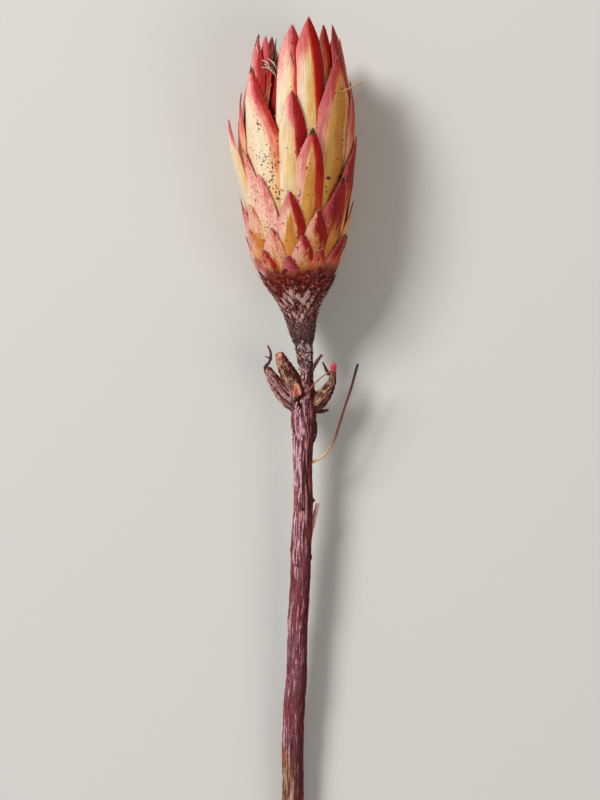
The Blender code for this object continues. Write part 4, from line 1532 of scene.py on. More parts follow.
    def add_hairs(self, piece: Piece) -> None:
        """Set short hairs all over the lower cone, which is felted."""
        chance = random.Random(self.seed + 2)
        shape = self.shape
        for _ in range(self.hairs):
            along = chance.triangular(-0.5, 12.0, 4.0)
            angle = chance.uniform(-math.pi, math.pi)
            radius = shape.radius(max(0.0, along), angle) + chance.uniform(-0.1, 0.15)
            way = chance.uniform(0.2, 1.0) * shape.outward(angle) + chance.uniform(-0.2, 1.2) * shape.ahead
            way += chance.uniform(-0.9, 0.9) * shape.across(angle)
            # painted shade: hairs on the right-hand side keep the darker colours of their foot
            reach = chance.random() * (1.0 - self.shaded_right_bare * smooth_step(0.0, 0.8, math.sin(angle)))
            length, thick = chance.uniform(*self.hair_length), chance.uniform(*self.hair_radius)
            piece.add_hair(shape.point(along, radius, angle) * MM, way, length, thick, reach)

    def build(self, scale_finish: bpy.types.Material, finishes: Finishes) -> None:
        """Make the cone with its hairs, its scales, and the scales that lap onto the head.

        Args:
            scale_finish: the scales' material.
            finishes: the strands' materials by name.
        """
        chance = random.Random(self.seed)
        low, high, core = Piece("cone_scales"), Piece("head_foot_scales"), Piece("cone_core")
        for tip, angle, half, shown in self.spiral():
            self.add(low if tip <= self.seam else high, tip, angle, half, shown, chance)
        self.add_core(core)
        low.build(Node.CONE, scale_finish, self.thick)
        high.build(Node.HEAD, scale_finish, self.thick)
        core.build(Node.CONE, scale_finish)
        hairs = Piece("cone_hairs")
        self.add_hairs(hairs)
        hairs.build(Node.CONE, finishes["cone_hair"])
        flakes = Piece("peduncle_flakes")
        self.add_flakes(flakes)
        flakes.build(Node.STEM, scale_finish, 0.5 * self.thick)


# ---- the stem ----


@dataclass(frozen=True)
class Mark:
    """A knob, dent, crevice or stain on the stem. Lengths in millimetres, angle in degrees from the top."""

    along: float
    angle: float
    length: float
    width: float
    height: float = 0.0
    dark: float = 0.0
    rust: float = 0.0

    def share(self, along: float, angle: float, radius: float) -> float:
        """How much of the mark a point gets, from 0 to 1."""
        turn = (angle - math.radians(self.angle) + math.pi) % FULL_TURN - math.pi
        away = ((along - self.along) / (self.length / 2.0)) ** 2 + (turn * radius / (self.width / 2.0)) ** 2
        return math.exp(-away * 1.4)


@dataclass(frozen=True)
class Facet:
    """An oval cut face of bare wood: what stands past a plane is pressed onto it. Millimetres."""

    centre: tuple[float, float, float]
    facing: tuple[float, float, float]
    long_way: tuple[float, float, float]
    half_length: float
    half_width: float

    def press(self, places: np.ndarray) -> tuple[np.ndarray, np.ndarray]:
        """Press the points onto the face.

        Args:
            places: the points, changed in place.

        Returns:
            How far each point belongs to the face, 0 to 1, and its way to the face's middle, 1 at the rim.
        """
        facing = Vector(self.facing).normalized()
        sideways = facing.cross(Vector(self.long_way)).normalized()
        offset = places - np.array(self.centre)
        past = offset @ np.array(facing)
        along = offset @ np.array(sideways.cross(facing)) / self.half_length
        across = offset @ np.array(sideways) / self.half_width
        away = np.hypot(along, across)
        hold = np.clip((1.25 - away) / 0.25, 0.0, 1.0) * (past > 0.0)
        ripple = 0.12 * np.cos(across * 7.0) - 0.2 * np.clip(1.0 - away, 0.0, 1.0)
        places -= (hold * (past - ripple))[:, None] * np.array(facing)
        return hold * np.clip((1.1 - away) / 0.3, 0.0, 1.0), away


SKIN_MEASURES = ("ridge", "brown", "dark", "rust", "wood", "shady", "rough")


@dataclass
class Skin:
    """What is known of each point of the stem while its bark is made, in millimetres."""

    places: np.ndarray
    normals: np.ndarray
    grain: np.ndarray
    ridge: np.ndarray
    brown: np.ndarray
    dark: np.ndarray
    rust: np.ndarray
    wood: np.ndarray
    shady: np.ndarray
    rough: np.ndarray

    @classmethod
    def read(cls, mesh: bpy.types.Mesh) -> "Skin":
        """Take the points from a mesh, with everything else at 0."""
        count = len(mesh.vertices)
        places, normals = np.empty(count * 3), np.empty(count * 3)
        mesh.vertices.foreach_get("co", places)
        mesh.vertices.foreach_get("normal", normals)
        blank = [np.zeros(count) for _ in SKIN_MEASURES]
        return cls(places.reshape(-1, 3) / MM, normals.reshape(-1, 3), np.zeros((count, 3)), *blank)

    def write(self, mesh: bpy.types.Mesh) -> None:
        """Put the points and their attributes into the mesh."""
        mesh.vertices.foreach_set("co", (self.places * MM).ravel())
        mesh.attributes.new("grain", "FLOAT_VECTOR", "POINT").data.foreach_set("vector", self.grain.ravel())
        for name in SKIN_MEASURES:
            mesh.attributes.new(name, "FLOAT", "POINT").data.foreach_set("value", getattr(self, name))
        mesh.update()


@dataclass(frozen=True)
class Shoot:
    """One of the shoots that the stem is grown from: its points, how brown and how knotty its bark is."""

    points: tuple[Spot, ...]
    brown: float
    knots: float


@dataclass(frozen=True)
class Twigs:
    """Thin dry growths that make one piece: its name and finish, how they are drawn, and their points."""

    name: str
    finish: str
    sides: int
    step: float
    flatness: float
    wobble: float
    routes: tuple[tuple[Spot, ...], ...]


TWIGS = (
    Twigs("dry_hooks", "dry_hook", 10, 0.5, 0.8, 0.35, (
        ((-9.4, -75.4, 15.4, 1.1), (-10.6, -72.6, 15.8, 0.7), (-9.4, -70.8, 16.2, 0.5),
         (-8.9, -68.0, 16.6, 0.4), (-9.9, -65.2, 16.6, 0.25)),
        ((-8.6, -70.2, 16.3, 0.35), (-9.6, -69.4, 16.6, 0.25), (-10.9, -69.0, 16.8, 0.15)),
        ((10.9, -75.2, 14.6, 0.7), (9.9, -73.4, 15.2, 0.5), (8.7, -70.9, 15.6, 0.3)),
        ((5.0, -86.9, 12.6, 1.3), (8.2, -87.6, 12.4, 0.8), (10.8, -87.1, 12.4, 0.3)),
        ((4.4, -79.4, 14.6, 0.9), (4.9, -74.4, 15.4, 0.65), (6.7, -70.8, 15.8, 0.62),
         (8.4, -68.4, 16.0, 0.45)),
    )),
    Twigs("horn_tip", "horn_tip_skin", 12, 0.4, 1.0, 0.3, (
        ((12.1, -74.8, 14.7, 0.9), (12.4, -73.2, 15.0, 1.0), (12.3, -71.8, 15.3, 0.85),
         (11.9, -70.9, 15.5, 0.4)),
    )),
    Twigs("tan_slips", "tan_slip", 8, 0.5, 0.8, 0.3, (
        ((1.4, -83.6, 17.6, 0.3), (4.4, -79.9, 18.0, 0.24), (7.9, -76.4, 18.0, 0.22),
         (11.6, -73.6, 16.8, 0.2)),
    )),
    Twigs("bark_sliver", "sliver_bark", 12, 0.5, 0.6, 0.25, (
        ((3.0, -135.4, 10.4, 1.0), (4.4, -130.0, 10.6, 0.85), (5.8, -124.0, 11.0, 0.8),
         (7.1, -118.9, 11.4, 0.55)),
    )),
    Twigs("wiry_twig", "wiry_twig_skin", 10, 0.5, 1.0, 0.12, (
        ((3.8, -105.6, 12.6, 0.6), (7.7, -103.6, 12.9, 0.45), (10.4, -101.2, 13.4, 0.42),
         (12.6, -97.4, 14.0, 0.42), (14.4, -92.0, 14.7, 0.42), (16.1, -86.4, 15.4, 0.43),
         (18.3, -79.8, 16.4, 0.45), (20.1, -73.2, 17.3, 0.48), (20.6, -71.6, 17.6, 0.45)),
    )),
)


@dataclass
class WoodyStem:
    """The stem with its bark, swollen node, cut side shoots and dry twigs. Sizes in millimetres.

    Waves and gnarls give the height of the bark's relief and its waves to the millimetre across the
    grain and along it; the line gives x, y and radius down the stem.
    """

    voxel: float = 0.31
    trunk_sides: int = 28
    cut_point: tuple[float, float, float] = (-1.6, -250.0, 3.35)
    cut_direction: tuple[float, float, float] = (0.35, -1.0, 0.1)
    bark_width: float = 0.5
    bark_proud: float = 0.12
    slope: float = math.tan(math.radians(3.56))
    foot_height: float = 15.15
    foot_y: float = -65.3
    lowest: float = 0.08
    line: tuple[tuple[float, float, float], ...] = (
        (2.3, -63.8, 2.7), (2.3, -65.8, 2.85), (2.6, -69.5, 2.7), (3.3, -72.5, 2.15), (3.4, -75.5, 2.1),
        (2.9, -78.5, 3.0), (2.4, -81.5, 3.7), (2.2, -84.5, 4.3), (2.2, -88.0, 4.3), (2.2, -93.0, 4.1),
        (2.1, -98.0, 3.5), (1.9, -104.0, 3.25), (2.0, -110.0, 3.2), (2.1, -117.0, 3.3), (1.9, -124.0, 3.3),
        (1.5, -131.0, 3.4), (1.3, -138.0, 3.45), (1.1, -145.0, 3.5), (0.8, -152.0, 3.45), (0.3, -159.0, 3.4),
        (0.1, -166.0, 3.35), (0.0, -173.0, 3.45), (-0.3, -180.0, 3.55), (-0.9, -187.0, 3.6),
        (-1.2, -194.0, 3.6), (-1.4, -201.0, 3.6), (-1.4, -208.0, 3.55), (-1.3, -215.0, 3.5),
        (-1.4, -223.0, 3.5), (-1.5, -232.0, 3.5), (-1.6, -241.0, 3.5), (-1.7, -254.0, 3.5),
    )
    shoots: tuple[Shoot, ...] = (
        # the left limb
        Shoot((
            (0.5, -85.5, 14.0, 3.0), (-2.0, -84.0, 14.4, 3.0), (-4.3, -81.8, 14.7, 2.8),
            (-6.7, -78.8, 15.0, 2.5), (-8.8, -75.6, 15.2, 1.9), (-10.1, -72.8, 15.0, 1.2),
        ), brown=0.05, knots=0.4),
        # the inner limb
        Shoot((
            (-0.2, -81.5, 14.5, 2.7), (-1.5, -77.6, 15.2, 3.1), (-3.1, -74.6, 15.9, 2.8),
            (-4.7, -71.2, 16.6, 2.2), (-6.1, -67.8, 17.3, 1.2),
        ), brown=1.0, knots=1.0),
        # the right horn
        Shoot((
            (3.4, -86.4, 13.5, 3.3), (6.9, -84.1, 13.4, 3.15), (9.8, -81.2, 13.6, 2.4),
            (11.7, -77.6, 14.2, 1.5), (12.4, -73.8, 14.9, 0.85),
        ), brown=0.85, knots=0.8),
        # the front stub
        Shoot((
            (0.6, -84.6, 14.6, 2.4), (0.1, -82.8, 16.4, 2.3), (-0.3, -80.6, 17.4, 2.4),
            (-0.9, -78.4, 17.2, 2.0),
        ), brown=0.7, knots=1.0),
    )
    facets: tuple[Facet, ...] = (
        Facet((-6.2, -70.0, 17.7), (-0.45, -0.1, 0.89), (0.05, 1.0, 0.15), 3.4, 1.3),
        Facet((-0.3, -80.8, 18.7), (-0.15, 0.1, 0.98), (-0.15, 1.0, 0.0), 3.1, 1.9),
    )
    waves: tuple[tuple[float, float, float], ...] = ((0.26, 0.8, 0.07), (0.26, 1.6, 0.16), (0.18, 3.0, 0.5))
    gnarls: tuple[tuple[float, float, float], ...] = ((0.3, 0.5, 1.3), (0.26, 1.5, 0.9), (0.16, 2.6, 1.8))
    node_foot: tuple[float, float] = (-95.0, -86.0)
    node_top: tuple[float, float] = (-66.0, -72.0)
    shoot_reach: float = 1.6
    shoot_seam: float = 0.35
    shoot_shift: float = 40.0
    neck: tuple[float, float] = (-78.0, -74.0)
    neck_x: float = 2.9
    neck_half_width: float = 4.0
    neck_painted_shadow: float = 0.6
    low_zone: tuple[float, float] = (-194.0, -208.0)
    low_rust: float = 0.4
    low_brown: float = 0.75
    low_ridge: float = 0.22
    node_brown: float = 0.5
    colour_change: tuple[float, float] = (-145.0, -110.0)
    rough_change: tuple[float, float] = (0.58, 1.15)
    painted_light_change: tuple[float, float] = (-0.06, 0.17)
    stem_half_width: float = 6.0
    mark_radius: float = 3.4
    # where a mark sinks in, its dark is partly the crevice's own colour and partly painted shade; on raised
    # marks it is the bark's own dark
    marks: tuple[Mark, ...] = (
        Mark(-115.0, 12.0, 9.0, 0.5, -0.3, 0.3),
        Mark(-120.9, 2.0, 1.6, 2.2, -0.35, 1.0),
        Mark(-122.7, 0.0, 1.8, 1.4, 0.1, 0.0, 0.9),
        Mark(-125.8, 35.0, 3.4, 1.6, 0.15, 0.9),
        Mark(-117.9, 88.0, 1.5, 1.2, 0.9),
        Mark(-137.4, 82.0, 2.4, 1.8, 0.6, 0.3),
        Mark(-134.6, -80.0, 2.2, 1.6, 0.35),
        Mark(-140.0, -25.0, 1.6, 2.6, -0.35, 0.7),
        Mark(-142.4, -25.0, 1.6, 1.6, 0.2, 0.0, 0.6),
        Mark(-161.0, 20.0, 2.6, 2.2, 0.45),
        Mark(-169.2, -5.0, 1.6, 2.4, 0.25, 0.8),
        Mark(-174.0, -4.0, 2.6, 2.4, 0.3, 0.7),
        Mark(-179.9, -45.0, 1.7, 1.2, -0.25, 1.0),
        Mark(-181.4, -50.0, 1.2, 1.2, 0.0, 0.0, 1.0),
        Mark(-198.7, -12.0, 2.6, 2.2, 0.45, 0.4),
        Mark(-206.0, -60.0, 12.0, 3.0, 0.0, 0.0, 0.65),
        Mark(-218.0, 60.0, 2.4, 2.0, 0.4),
        Mark(-236.0, -30.0, 2.6, 2.0, 0.4, 0.3),
        Mark(-150.0, 170.0, 3.0, 2.4, 0.4),
        Mark(-190.0, 150.0, 2.6, 2.0, 0.4, 0.3),
        Mark(-106.0, 60.0, 2.0, 1.6, 0.3, 0.6),
        Mark(-94.6, -55.0, 1.6, 1.4, -0.3, 0.9),
        Mark(-85.4, -18.0, 5.0, 1.9, -1.0, 0.75),
        Mark(-88.6, -4.0, 4.0, 1.2, -0.4, 0.55),
        Mark(-76.2, 10.0, 3.4, 1.6, -0.4, 0.8),
        Mark(-91.5, 35.0, 7.0, 1.0, -0.4, 0.8),
        Mark(-99.0, -30.0, 6.0, 0.9, -0.3, 0.7),
        Mark(-108.0, 20.0, 9.0, 0.7, -0.3, 0.35),
    )

    def stem_height(self, y: float) -> float:
        """Height of the stem's middle over the surface, on its slope down to the cut end."""
        return self.foot_height + (y - self.foot_y) * self.slope

    def routes(self) -> list[Route]:
        """Set the paths of the stem and of its side shoots, the stem first."""
        stem = tuple((x, y, self.stem_height(y), radius) for x, y, radius in self.line)
        return [Route(stem), *(Route(shoot.points) for shoot in self.shoots)]

    def raw_trunk(self) -> bpy.types.Mesh:
        """Grow stem and side shoots into one closed body.

        Returns:
            Its smooth mesh, without bark.
        """
        piece = Piece("raw_trunk")
        stem, *shoots = self.routes()
        for route in (*shoots, stem):
            route.add_tube(piece, self.trunk_sides)
        raw = bpy.data.objects.new("raw_trunk", piece.mesh())
        bpy.context.scene.collection.objects.link(raw)
        grown = raw.modifiers.new("grow_together", "REMESH")
        grown.mode = "VOXEL"
        grown.voxel_size = self.voxel * MM
        graph = bpy.context.evaluated_depsgraph_get()
        mesh = bpy.data.meshes.new_from_object(raw.evaluated_get(graph))
        bpy.data.objects.remove(raw)
        return mesh

    def cut_end(self, bm: bmesh.types.BMesh) -> None:
        """Cut the lower end off at a slant and leave bare wood inside the bark."""
        geometry = [*bm.verts, *bm.edges, *bm.faces]
        bmesh.ops.bisect_plane(bm, geom=geometry, dist=WELD, plane_co=Vector(self.cut_point) * MM,
                               plane_no=Vector(self.cut_direction), clear_outer=True)
        rim = [edge for edge in bm.edges if edge.is_boundary]
        cap = bmesh.ops.holes_fill(bm, edges=rim, sides=0)["faces"]
        bmesh.ops.inset_region(bm, faces=cap, thickness=self.bark_width * MM, depth=-self.bark_proud * MM)
        for face in cap:
            face.material_index = 1

    def wave_height(self, spot: Vector, waves: Sequence[tuple[float, float, float]]) -> float:
        """Height of the bark at a spot given along the grain.

        Args:
            spot: the place, with its third number along the grain.
            waves: height, waves to the millimetre across the grain and along it.

        Returns:
            The height.
        """
        height = 0.0
        for rise, across, along in waves:
            height += rise * noise.noise(Vector((spot.x * across, spot.y * across, spot.z * along)))
        return height

    def grow_bark(self, skin: Skin) -> None:
        """Find each point's place along its own shoot, and raise the bark there.

        Args:
            skin: the smooth body's points; ridge, grain and brown are filled in.
        """
        count = len(skin.places)
        nearest = np.full(count, np.inf)
        pulled, total = np.zeros(count), np.zeros(count)
        browns = (0.0, *(shoot.brown for shoot in self.shoots))
        knots = (0.0, *(shoot.knots for shoot in self.shoots))
        for number, route in enumerate(self.routes()):
            rings = route.rings()
            centres, sides, others, aheads, radii, distances = (
                np.array([getattr(ring, part) for ring in rings])
                for part in ("place", "side", "other", "ahead", "radius", "distance")
            )
            gaps = ((skin.places[:, None, :] - centres[None, :, :]) ** 2).sum(axis=2)
            index = gaps.argmin(axis=1)
            offset = skin.places - centres[index]
            forward = (offset * aheads[index]).sum(axis=1)
            first = (offset * sides[index]).sum(axis=1)
            second = (offset * others[index]).sum(axis=1)
            reach = np.hypot(first, second) + 1e-6
            excess = reach - radii[index] + np.abs(forward) * 0.5
            for vert in np.flatnonzero(excess < self.shoot_reach):
                scale = radii[index[vert]] / reach[vert]
                along = distances[index[vert]] + forward[vert]
                spot = Vector((first[vert] * scale, second[vert] * scale + self.shoot_shift * number, along))
                y = skin.places[vert][1]
                knotty = knots[number] or smooth_step(*self.node_foot, y) * smooth_step(*self.node_top, y)
                height = self.wave_height(spot, self.waves)
                if knotty > 0.0:
                    height += knotty * self.wave_height(spot, self.gnarls)
                share = math.exp(-max(0.0, excess[vert]) / self.shoot_seam)
                pulled[vert] += share * height
                total[vert] += share
                if excess[vert] < nearest[vert]:
                    nearest[vert] = excess[vert]
                    skin.grain[vert] = spot
                    skin.brown[vert] = browns[number]
        skin.ridge = pulled / np.maximum(total, 1e-6)

    def stain(self, skin: Skin) -> None:
        """Lay the marks on the stem, a painted shadow under the head at its neck, and its broad changes of
        colour from end to end.

        Args:
            skin: the body's points; ridge, brown, dark and rust are changed.
        """
        down_line = [-row[1] for row in self.line]
        middles = np.interp(-skin.places[:, 1], down_line, [row[0] for row in self.line])
        low_middle = self.line[-1][0]
        for vert, (x, y, z) in enumerate(skin.places):
            # painted shadow: the stem just under the head grows darker towards the head
            if y > self.neck[0] and abs(x - self.neck_x) < self.neck_half_width:
                skin.dark[vert] = self.neck_painted_shadow * smooth_step(*self.neck, y)
            ragged_y = y + 5.0 * noise.noise(Vector((x * 0.7, z * 0.7, y * 0.12)))
            low = smooth_step(*self.low_zone, ragged_y) * smooth_step(3.4, 0.6, x - low_middle)
            skin.rust[vert] = self.low_rust * low * smooth_step(0.5, -2.5, x - low_middle)
            node = self.node_brown * smooth_step(-92.0, -84.0, y)
            skin.brown[vert] = max(skin.brown[vert], node, self.low_brown * low)
            skin.ridge[vert] += self.low_ridge * low * smooth_step(2.5, -1.0, x - low_middle)
            aside = x - middles[vert]
            if abs(aside) > self.stem_half_width:
                continue
            angle = math.atan2(aside, z - self.stem_height(y))
            for mark in self.marks:
                if abs(mark.along - y) > mark.length * 1.6:
                    continue
                share = mark.share(y, angle, self.mark_radius)
                skin.ridge[vert] += mark.height * share
                skin.dark[vert] = max(skin.dark[vert], mark.dark * share)
                skin.rust[vert] = max(skin.rust[vert], mark.rust * share)

    def bark(self, mesh: bpy.types.Mesh) -> None:
        """Raise the bark along the grain, cut the bare faces and note the colours on the points.

        Args:
            mesh: the smooth body, changed in place.
        """
        skin = Skin.read(mesh)
        self.grow_bark(skin)
        self.stain(skin)
        skin.places += skin.normals * skin.ridge[:, None]
        # painted shade: points that face right and down take the darker, redder shady colour
        turned = 0.85 * skin.normals[:, 0] - 0.35 * skin.normals[:, 2]
        skin.shady = np.clip((turned + 0.38) / 0.8, 0.0, 1.0)
        skin.rough = np.interp(skin.places[:, 1], self.colour_change, self.rough_change)
        # painted light: points that face left or up get paler ridges on the upper stem, and a little darker
        # ones low down
        pale = np.interp(skin.places[:, 1], self.colour_change, self.painted_light_change)
        skin.ridge += 0.5 + pale * np.clip(0.4 - skin.normals[:, 0], 0.0, 1.0)
        for facet in self.facets:
            bare, away = facet.press(skin.places)
            skin.wood = np.maximum(skin.wood, bare)
            skin.brown = np.maximum(skin.brown, np.clip(1.6 - away, 0.0, 1.0))
            skin.dark = np.where(bare > 0.0, 0.55 * (np.abs(away - 0.95) < 0.12), skin.dark)
        skin.places[:, 2] = np.maximum(skin.places[:, 2], self.lowest)
        skin.write(mesh)

    def build_trunk(self, bark: bpy.types.Material, wood: bpy.types.Material) -> None:
        """Make the stem and its side shoots.

        Args:
            bark: the bark's material.
            wood: the cut end's material.
        """
        mesh = self.raw_trunk()
        mesh.name = "woody_stem"
        self.bark(mesh)
        mesh.materials.clear()
        bm = bmesh.new()
        bm.from_mesh(mesh)
        self.cut_end(bm)
        bm.to_mesh(mesh)
        bm.free()
        mesh.shade_smooth()
        mesh.materials.append(bark)
        mesh.materials.append(wood)
        trunk = bpy.data.objects.new("woody_stem", mesh)
        bpy.context.scene.collection.objects.link(trunk)
        settle(trunk, Node.STEM)

    def build_twigs(self, finishes: Finishes) -> None:
        """Make the dry hooks, the horn's tip, the tan twig, the bark sliver and the wiry twig."""
        for twigs in TWIGS:
            piece = Piece(twigs.name)
            for points in twigs.routes:
                Route(points, twigs.step).add_tube(piece, twigs.sides, twigs.flatness, twigs.wobble)
            piece.build(Node.STEM, finishes[twigs.finish])


# ---- loose bits ----


@dataclass(frozen=True)
class Sprinkle:
    """A patch of dark grains on the head: its middle, its half sizes, how many grains and how large."""

    x: float
    y: float
    half_x: float
    half_y: float
    count: int
    radius: float


@dataclass(frozen=True)
class Strand:
    """One thin strand: its points, and how high its section is as a part of its width.

    The first points, as many as are laid, have their height counted from the flower under them.
    """

    points: tuple[Spot, ...]
    laid: int
    flatness: float = 0.6


@dataclass(frozen=True)
class Bits:
    """Strands that make one piece: its name, node and finish, and those that are listed."""

    name: str
    node: Node
    finish: str
    strands: tuple[Strand, ...] = ()


BITS = (
    Bits("loose_straw", Node.HEAD, "straw_skin", (
        Strand(((13.4, 18.8, 0.2, 0.2), (15.4, 19.5, 0.9, 0.28), (17.8, 20.8, 28.6, 0.3),
                (20.4, 22.0, 27.6, 0.28), (21.8, 22.9, 27.0, 0.2)), 2),
        Strand(((13.8, 16.7, 0.2, 0.16), (15.2, 16.9, 0.4, 0.18), (16.8, 17.3, 27.6, 0.14)), 2),
    )),
    Bits("torn_fibres", Node.HEAD, "pale_fibre", (
        Strand(((9.9, 41.4, 0.1, 0.12), (10.8, 38.8, 0.2, 0.26), (11.8, 35.6, 0.1, 0.14)), 3, 0.5),
        Strand(((-14.4, 36.0, 0.1, 0.1), (-13.6, 34.6, 0.2, 0.2), (-12.9, 32.4, 0.1, 0.12)), 3, 0.5),
        Strand(((-10.2, 37.4, 0.1, 0.1), (-9.7, 35.6, 0.2, 0.18), (-9.4, 33.4, 0.1, 0.12)), 3, 0.5),
    )),
    Bits("dark_spikes", Node.HEAD, "dark_bit", (
        Strand(((-7.9, 29.6, 30.4, 0.34), (-7.4, 33.0, 31.0, 0.28), (-6.9, 36.9, 31.4, 0.14)), 0),
        Strand(((-10.6, 27.6, 0.4, 0.16), (-9.4, 28.6, 0.7, 0.2), (-8.6, 26.4, 0.6, 0.14)), 3),
        Strand(((-2.2, 32.6, 0.0, 0.1), (-1.8, 30.2, 0.05, 0.17), (-1.0, 27.4, 0.0, 0.1)), 3),
        Strand(((-2.2, 35.4, -0.05, 0.1), (-1.2, 34.8, 0.0, 0.13), (-0.2, 35.1, -0.05, 0.1)), 3),
    )),
    Bits("cone_shreds", Node.STEM, "pink_shred", tuple(
        Strand(((x, y - 0.9, 0.0, 0.1), (x, y, 0.4, 0.24), (x + 0.4, y + 0.9, 0.1, 0.1)), 3, 0.5)
        for x, y in ((-0.2, -85.0), (0.3, -86.6), (1.3, -84.2), (0.9, -87.6))
    )),
    Bits("dark_fuzz", Node.HEAD, "dark_bit"),
    Bits("peeling_strip", Node.STEM, "dark_bit", (
        Strand(((5.9, -89.6, 14.4, 0.5), (6.5, -92.6, 14.3, 0.45), (6.4, -95.6, 13.9, 0.4),
                (5.7, -98.0, 13.4, 0.28)), 0, 0.5),
    )),
    Bits("pale_chip", Node.STEM, "pale_fibre", (
        Strand(((-1.9, -95.4, 14.6, 0.3), (-1.8, -96.4, 14.8, 0.5), (-1.6, -97.4, 14.6, 0.2)), 0),
    )),
    Bits("white_scrap", Node.HEAD, "pink_shred", (
        Strand(((0.4, -13.4, 0.1, 0.16), (0.7, -14.8, 0.3, 0.42), (0.3, -16.2, 0.1, 0.14)), 3, 0.35),
    )),
)


@dataclass
class LooseBits:
    """Dry bits that cling to the flower: a straw, torn fibres, grains and flakes. Sizes in millimetres."""

    seed: int = 5
    high: float = 80.0
    shreds: int = 16
    fuzz: int = 16
    torn: tuple[tuple[float, float, float, float, float], ...] = (
        (-11.6, 29.6, -8.2, 26.6, 0.22), (-11.0, 28.4, -7.4, 24.6, 0.2), (-9.8, 30.2, -7.4, 27.6, 0.16),
        (-11.8, 27.2, -8.4, 25.8, 0.15), (-9.0, 28.0, -6.8, 23.4, 0.14), (-8.4, 29.0, -6.9, 26.4, 0.12),
    )
    sprinkles: tuple[Sprinkle, ...] = (
        Sprinkle(-13.2, 11.4, 1.6, 6.4, 20, 0.24), Sprinkle(-12.8, 7.4, 1.2, 2.4, 16, 0.3),
        Sprinkle(-11.0, -3.4, 3.0, 4.6, 26, 0.3), Sprinkle(-7.4, -5.6, 2.2, 5.0, 22, 0.32),
        Sprinkle(-5.6, -14.4, 1.8, 3.6, 14, 0.34), Sprinkle(-16.6, -2.0, 2.2, 4.0, 12, 0.28),
        Sprinkle(-8.8, -11.4, 3.4, 3.0, 12, 0.3), Sprinkle(-5.6, 26.4, 1.2, 2.4, 8, 0.22),
        Sprinkle(-2.0, 15.0, 1.4, 7.0, 8, 0.22), Sprinkle(15.2, 3.0, 0.35, 13.0, 34, 0.26),
        Sprinkle(0.6, -1.4, 1.0, 5.0, 8, 0.24), Sprinkle(-15.0, -14.0, 2.0, 5.0, 12, 0.24),
        Sprinkle(-10.4, -26.0, 3.0, 5.0, 14, 0.24), Sprinkle(3.4, -9.0, 2.0, 6.0, 8, 0.22),
        Sprinkle(6.0, -16.0, 3.0, 4.0, 8, 0.22), Sprinkle(15.6, -10.2, 1.8, 1.2, 16, 0.36),
        Sprinkle(10.4, -9.7, 0.5, 0.5, 9, 0.5),
    )

    def under(self, x: float, y: float) -> tuple[Vector, Vector] | None:
        """Find the top of the flower below a spot of the plan.

        Args:
            x, y: the spot, in millimetres.

        Returns:
            The place in millimetres and the surface's direction, or None beside the flower.
        """
        graph = bpy.context.evaluated_depsgraph_get()
        above = Vector((x, y, self.high)) * MM
        hit, place, normal, *_ = bpy.context.scene.ray_cast(graph, above, Vector((0.0, 0.0, -1.0)))
        return (place / MM, normal) if hit else None

    def add_strand(self, piece: Piece, strand: Strand) -> None:
        """Add one thin strand, without its laid points beside the flower; one point alone makes none."""
        points = []
        for x, y, rise, radius in strand.points[:strand.laid]:
            hit = self.under(x, y)
            if hit:
                points.append((x, y, hit[0].z + rise, radius))
        points.extend(strand.points[strand.laid:])
        if len(points) > 1:
            Route(tuple(points), step=0.6).add_tube(piece, 6, flatness=strand.flatness, wobble=0.2)

    def add_grains(self, piece: Piece) -> None:
        """Sprinkle flat dark grains over the patches, each pressed on the surface under it."""
        chance = random.Random(self.seed)
        reach = piece.layer("reach")
        for patch in self.sprinkles:
            for _ in range(patch.count):
                x = patch.x + patch.half_x * chance.triangular(-1.0, 1.0)
                y = patch.y + patch.half_y * chance.triangular(-1.0, 1.0)
                hit = self.under(x, y)
                size = patch.radius * chance.uniform(0.6, 1.3)
                if not hit:
                    continue
                place, normal = hit
                turn = normal.to_track_quat("Z", "Y").to_matrix().to_4x4()
                twist = Matrix.Rotation(chance.uniform(0.0, math.pi), 4, "Z")
                stretch = Matrix.Diagonal((size * chance.uniform(0.5, 1.0), size, 0.35 * size, 1.0))
                spot = Matrix.Scale(MM, 4) @ (Matrix.Translation(place) @ turn @ twist @ stretch)
                shade = chance.random()
                made = bmesh.ops.create_icosphere(piece.bm, subdivisions=1, radius=1.0, matrix=spot)
                for vert in made["verts"]:
                    vert[reach] = shade

    def torn_fibres(self) -> list[Strand]:
        """Span the torn fibres over the gap between two bracts, each a little bowed."""
        found = []
        for x, y, end_x, end_y, thick in self.torn:
            middle = ((x + end_x) / 2.0, (y + end_y) / 2.0 + 0.5)
            hits = [self.under(*spot) for spot in ((x, y), middle, (end_x, end_y))]
            top = max(hit[0].z for hit in hits if hit)
            points = ((x, y, top, 0.12), (*middle, top + 0.5, thick), (end_x, end_y, top - 0.2, 0.14))
            found.append(Strand(points, 0, 0.4))
        return found

    def drawn_shreds(self, chance: random.Random) -> list[Strand]:
        """Draw the shreds round the peduncle, each lifted in its middle."""
        found = []
        for _ in range(self.shreds):
            x, y = 2.7 + chance.uniform(-2.2, 2.4), -66.4 + chance.uniform(-4.2, 1.8)
            turn = chance.uniform(-1.3, 1.3)
            long = chance.uniform(0.3, 0.8)
            step_x, step_y = math.sin(turn) * long, math.cos(turn) * long
            points = ((x, y, 0.05, 0.1), (x + step_x, y + step_y, 0.25, 0.16),
                      (x + 2.0 * step_x, y + 2.0 * step_y, 0.1, 0.08))
            found.append(Strand(points, 3, 0.5))
        return found

    def drawn_fuzz(self, chance: random.Random) -> list[Strand]:
        """Draw the dark fuzz on the right-hand bract, each bit standing off at its tip."""
        found = []
        for _ in range(self.fuzz):
            x, y = 15.6 + chance.uniform(-1.6, 1.6), -10.2 + chance.uniform(-1.2, 1.4)
            step_x, step_y = chance.uniform(-0.6, 0.6), chance.uniform(-0.6, 0.6)
            found.append(Strand(((x, y, 0.05, 0.18), (x + step_x, y + step_y, 0.5, 0.1)), 2, 0.8))
        return found

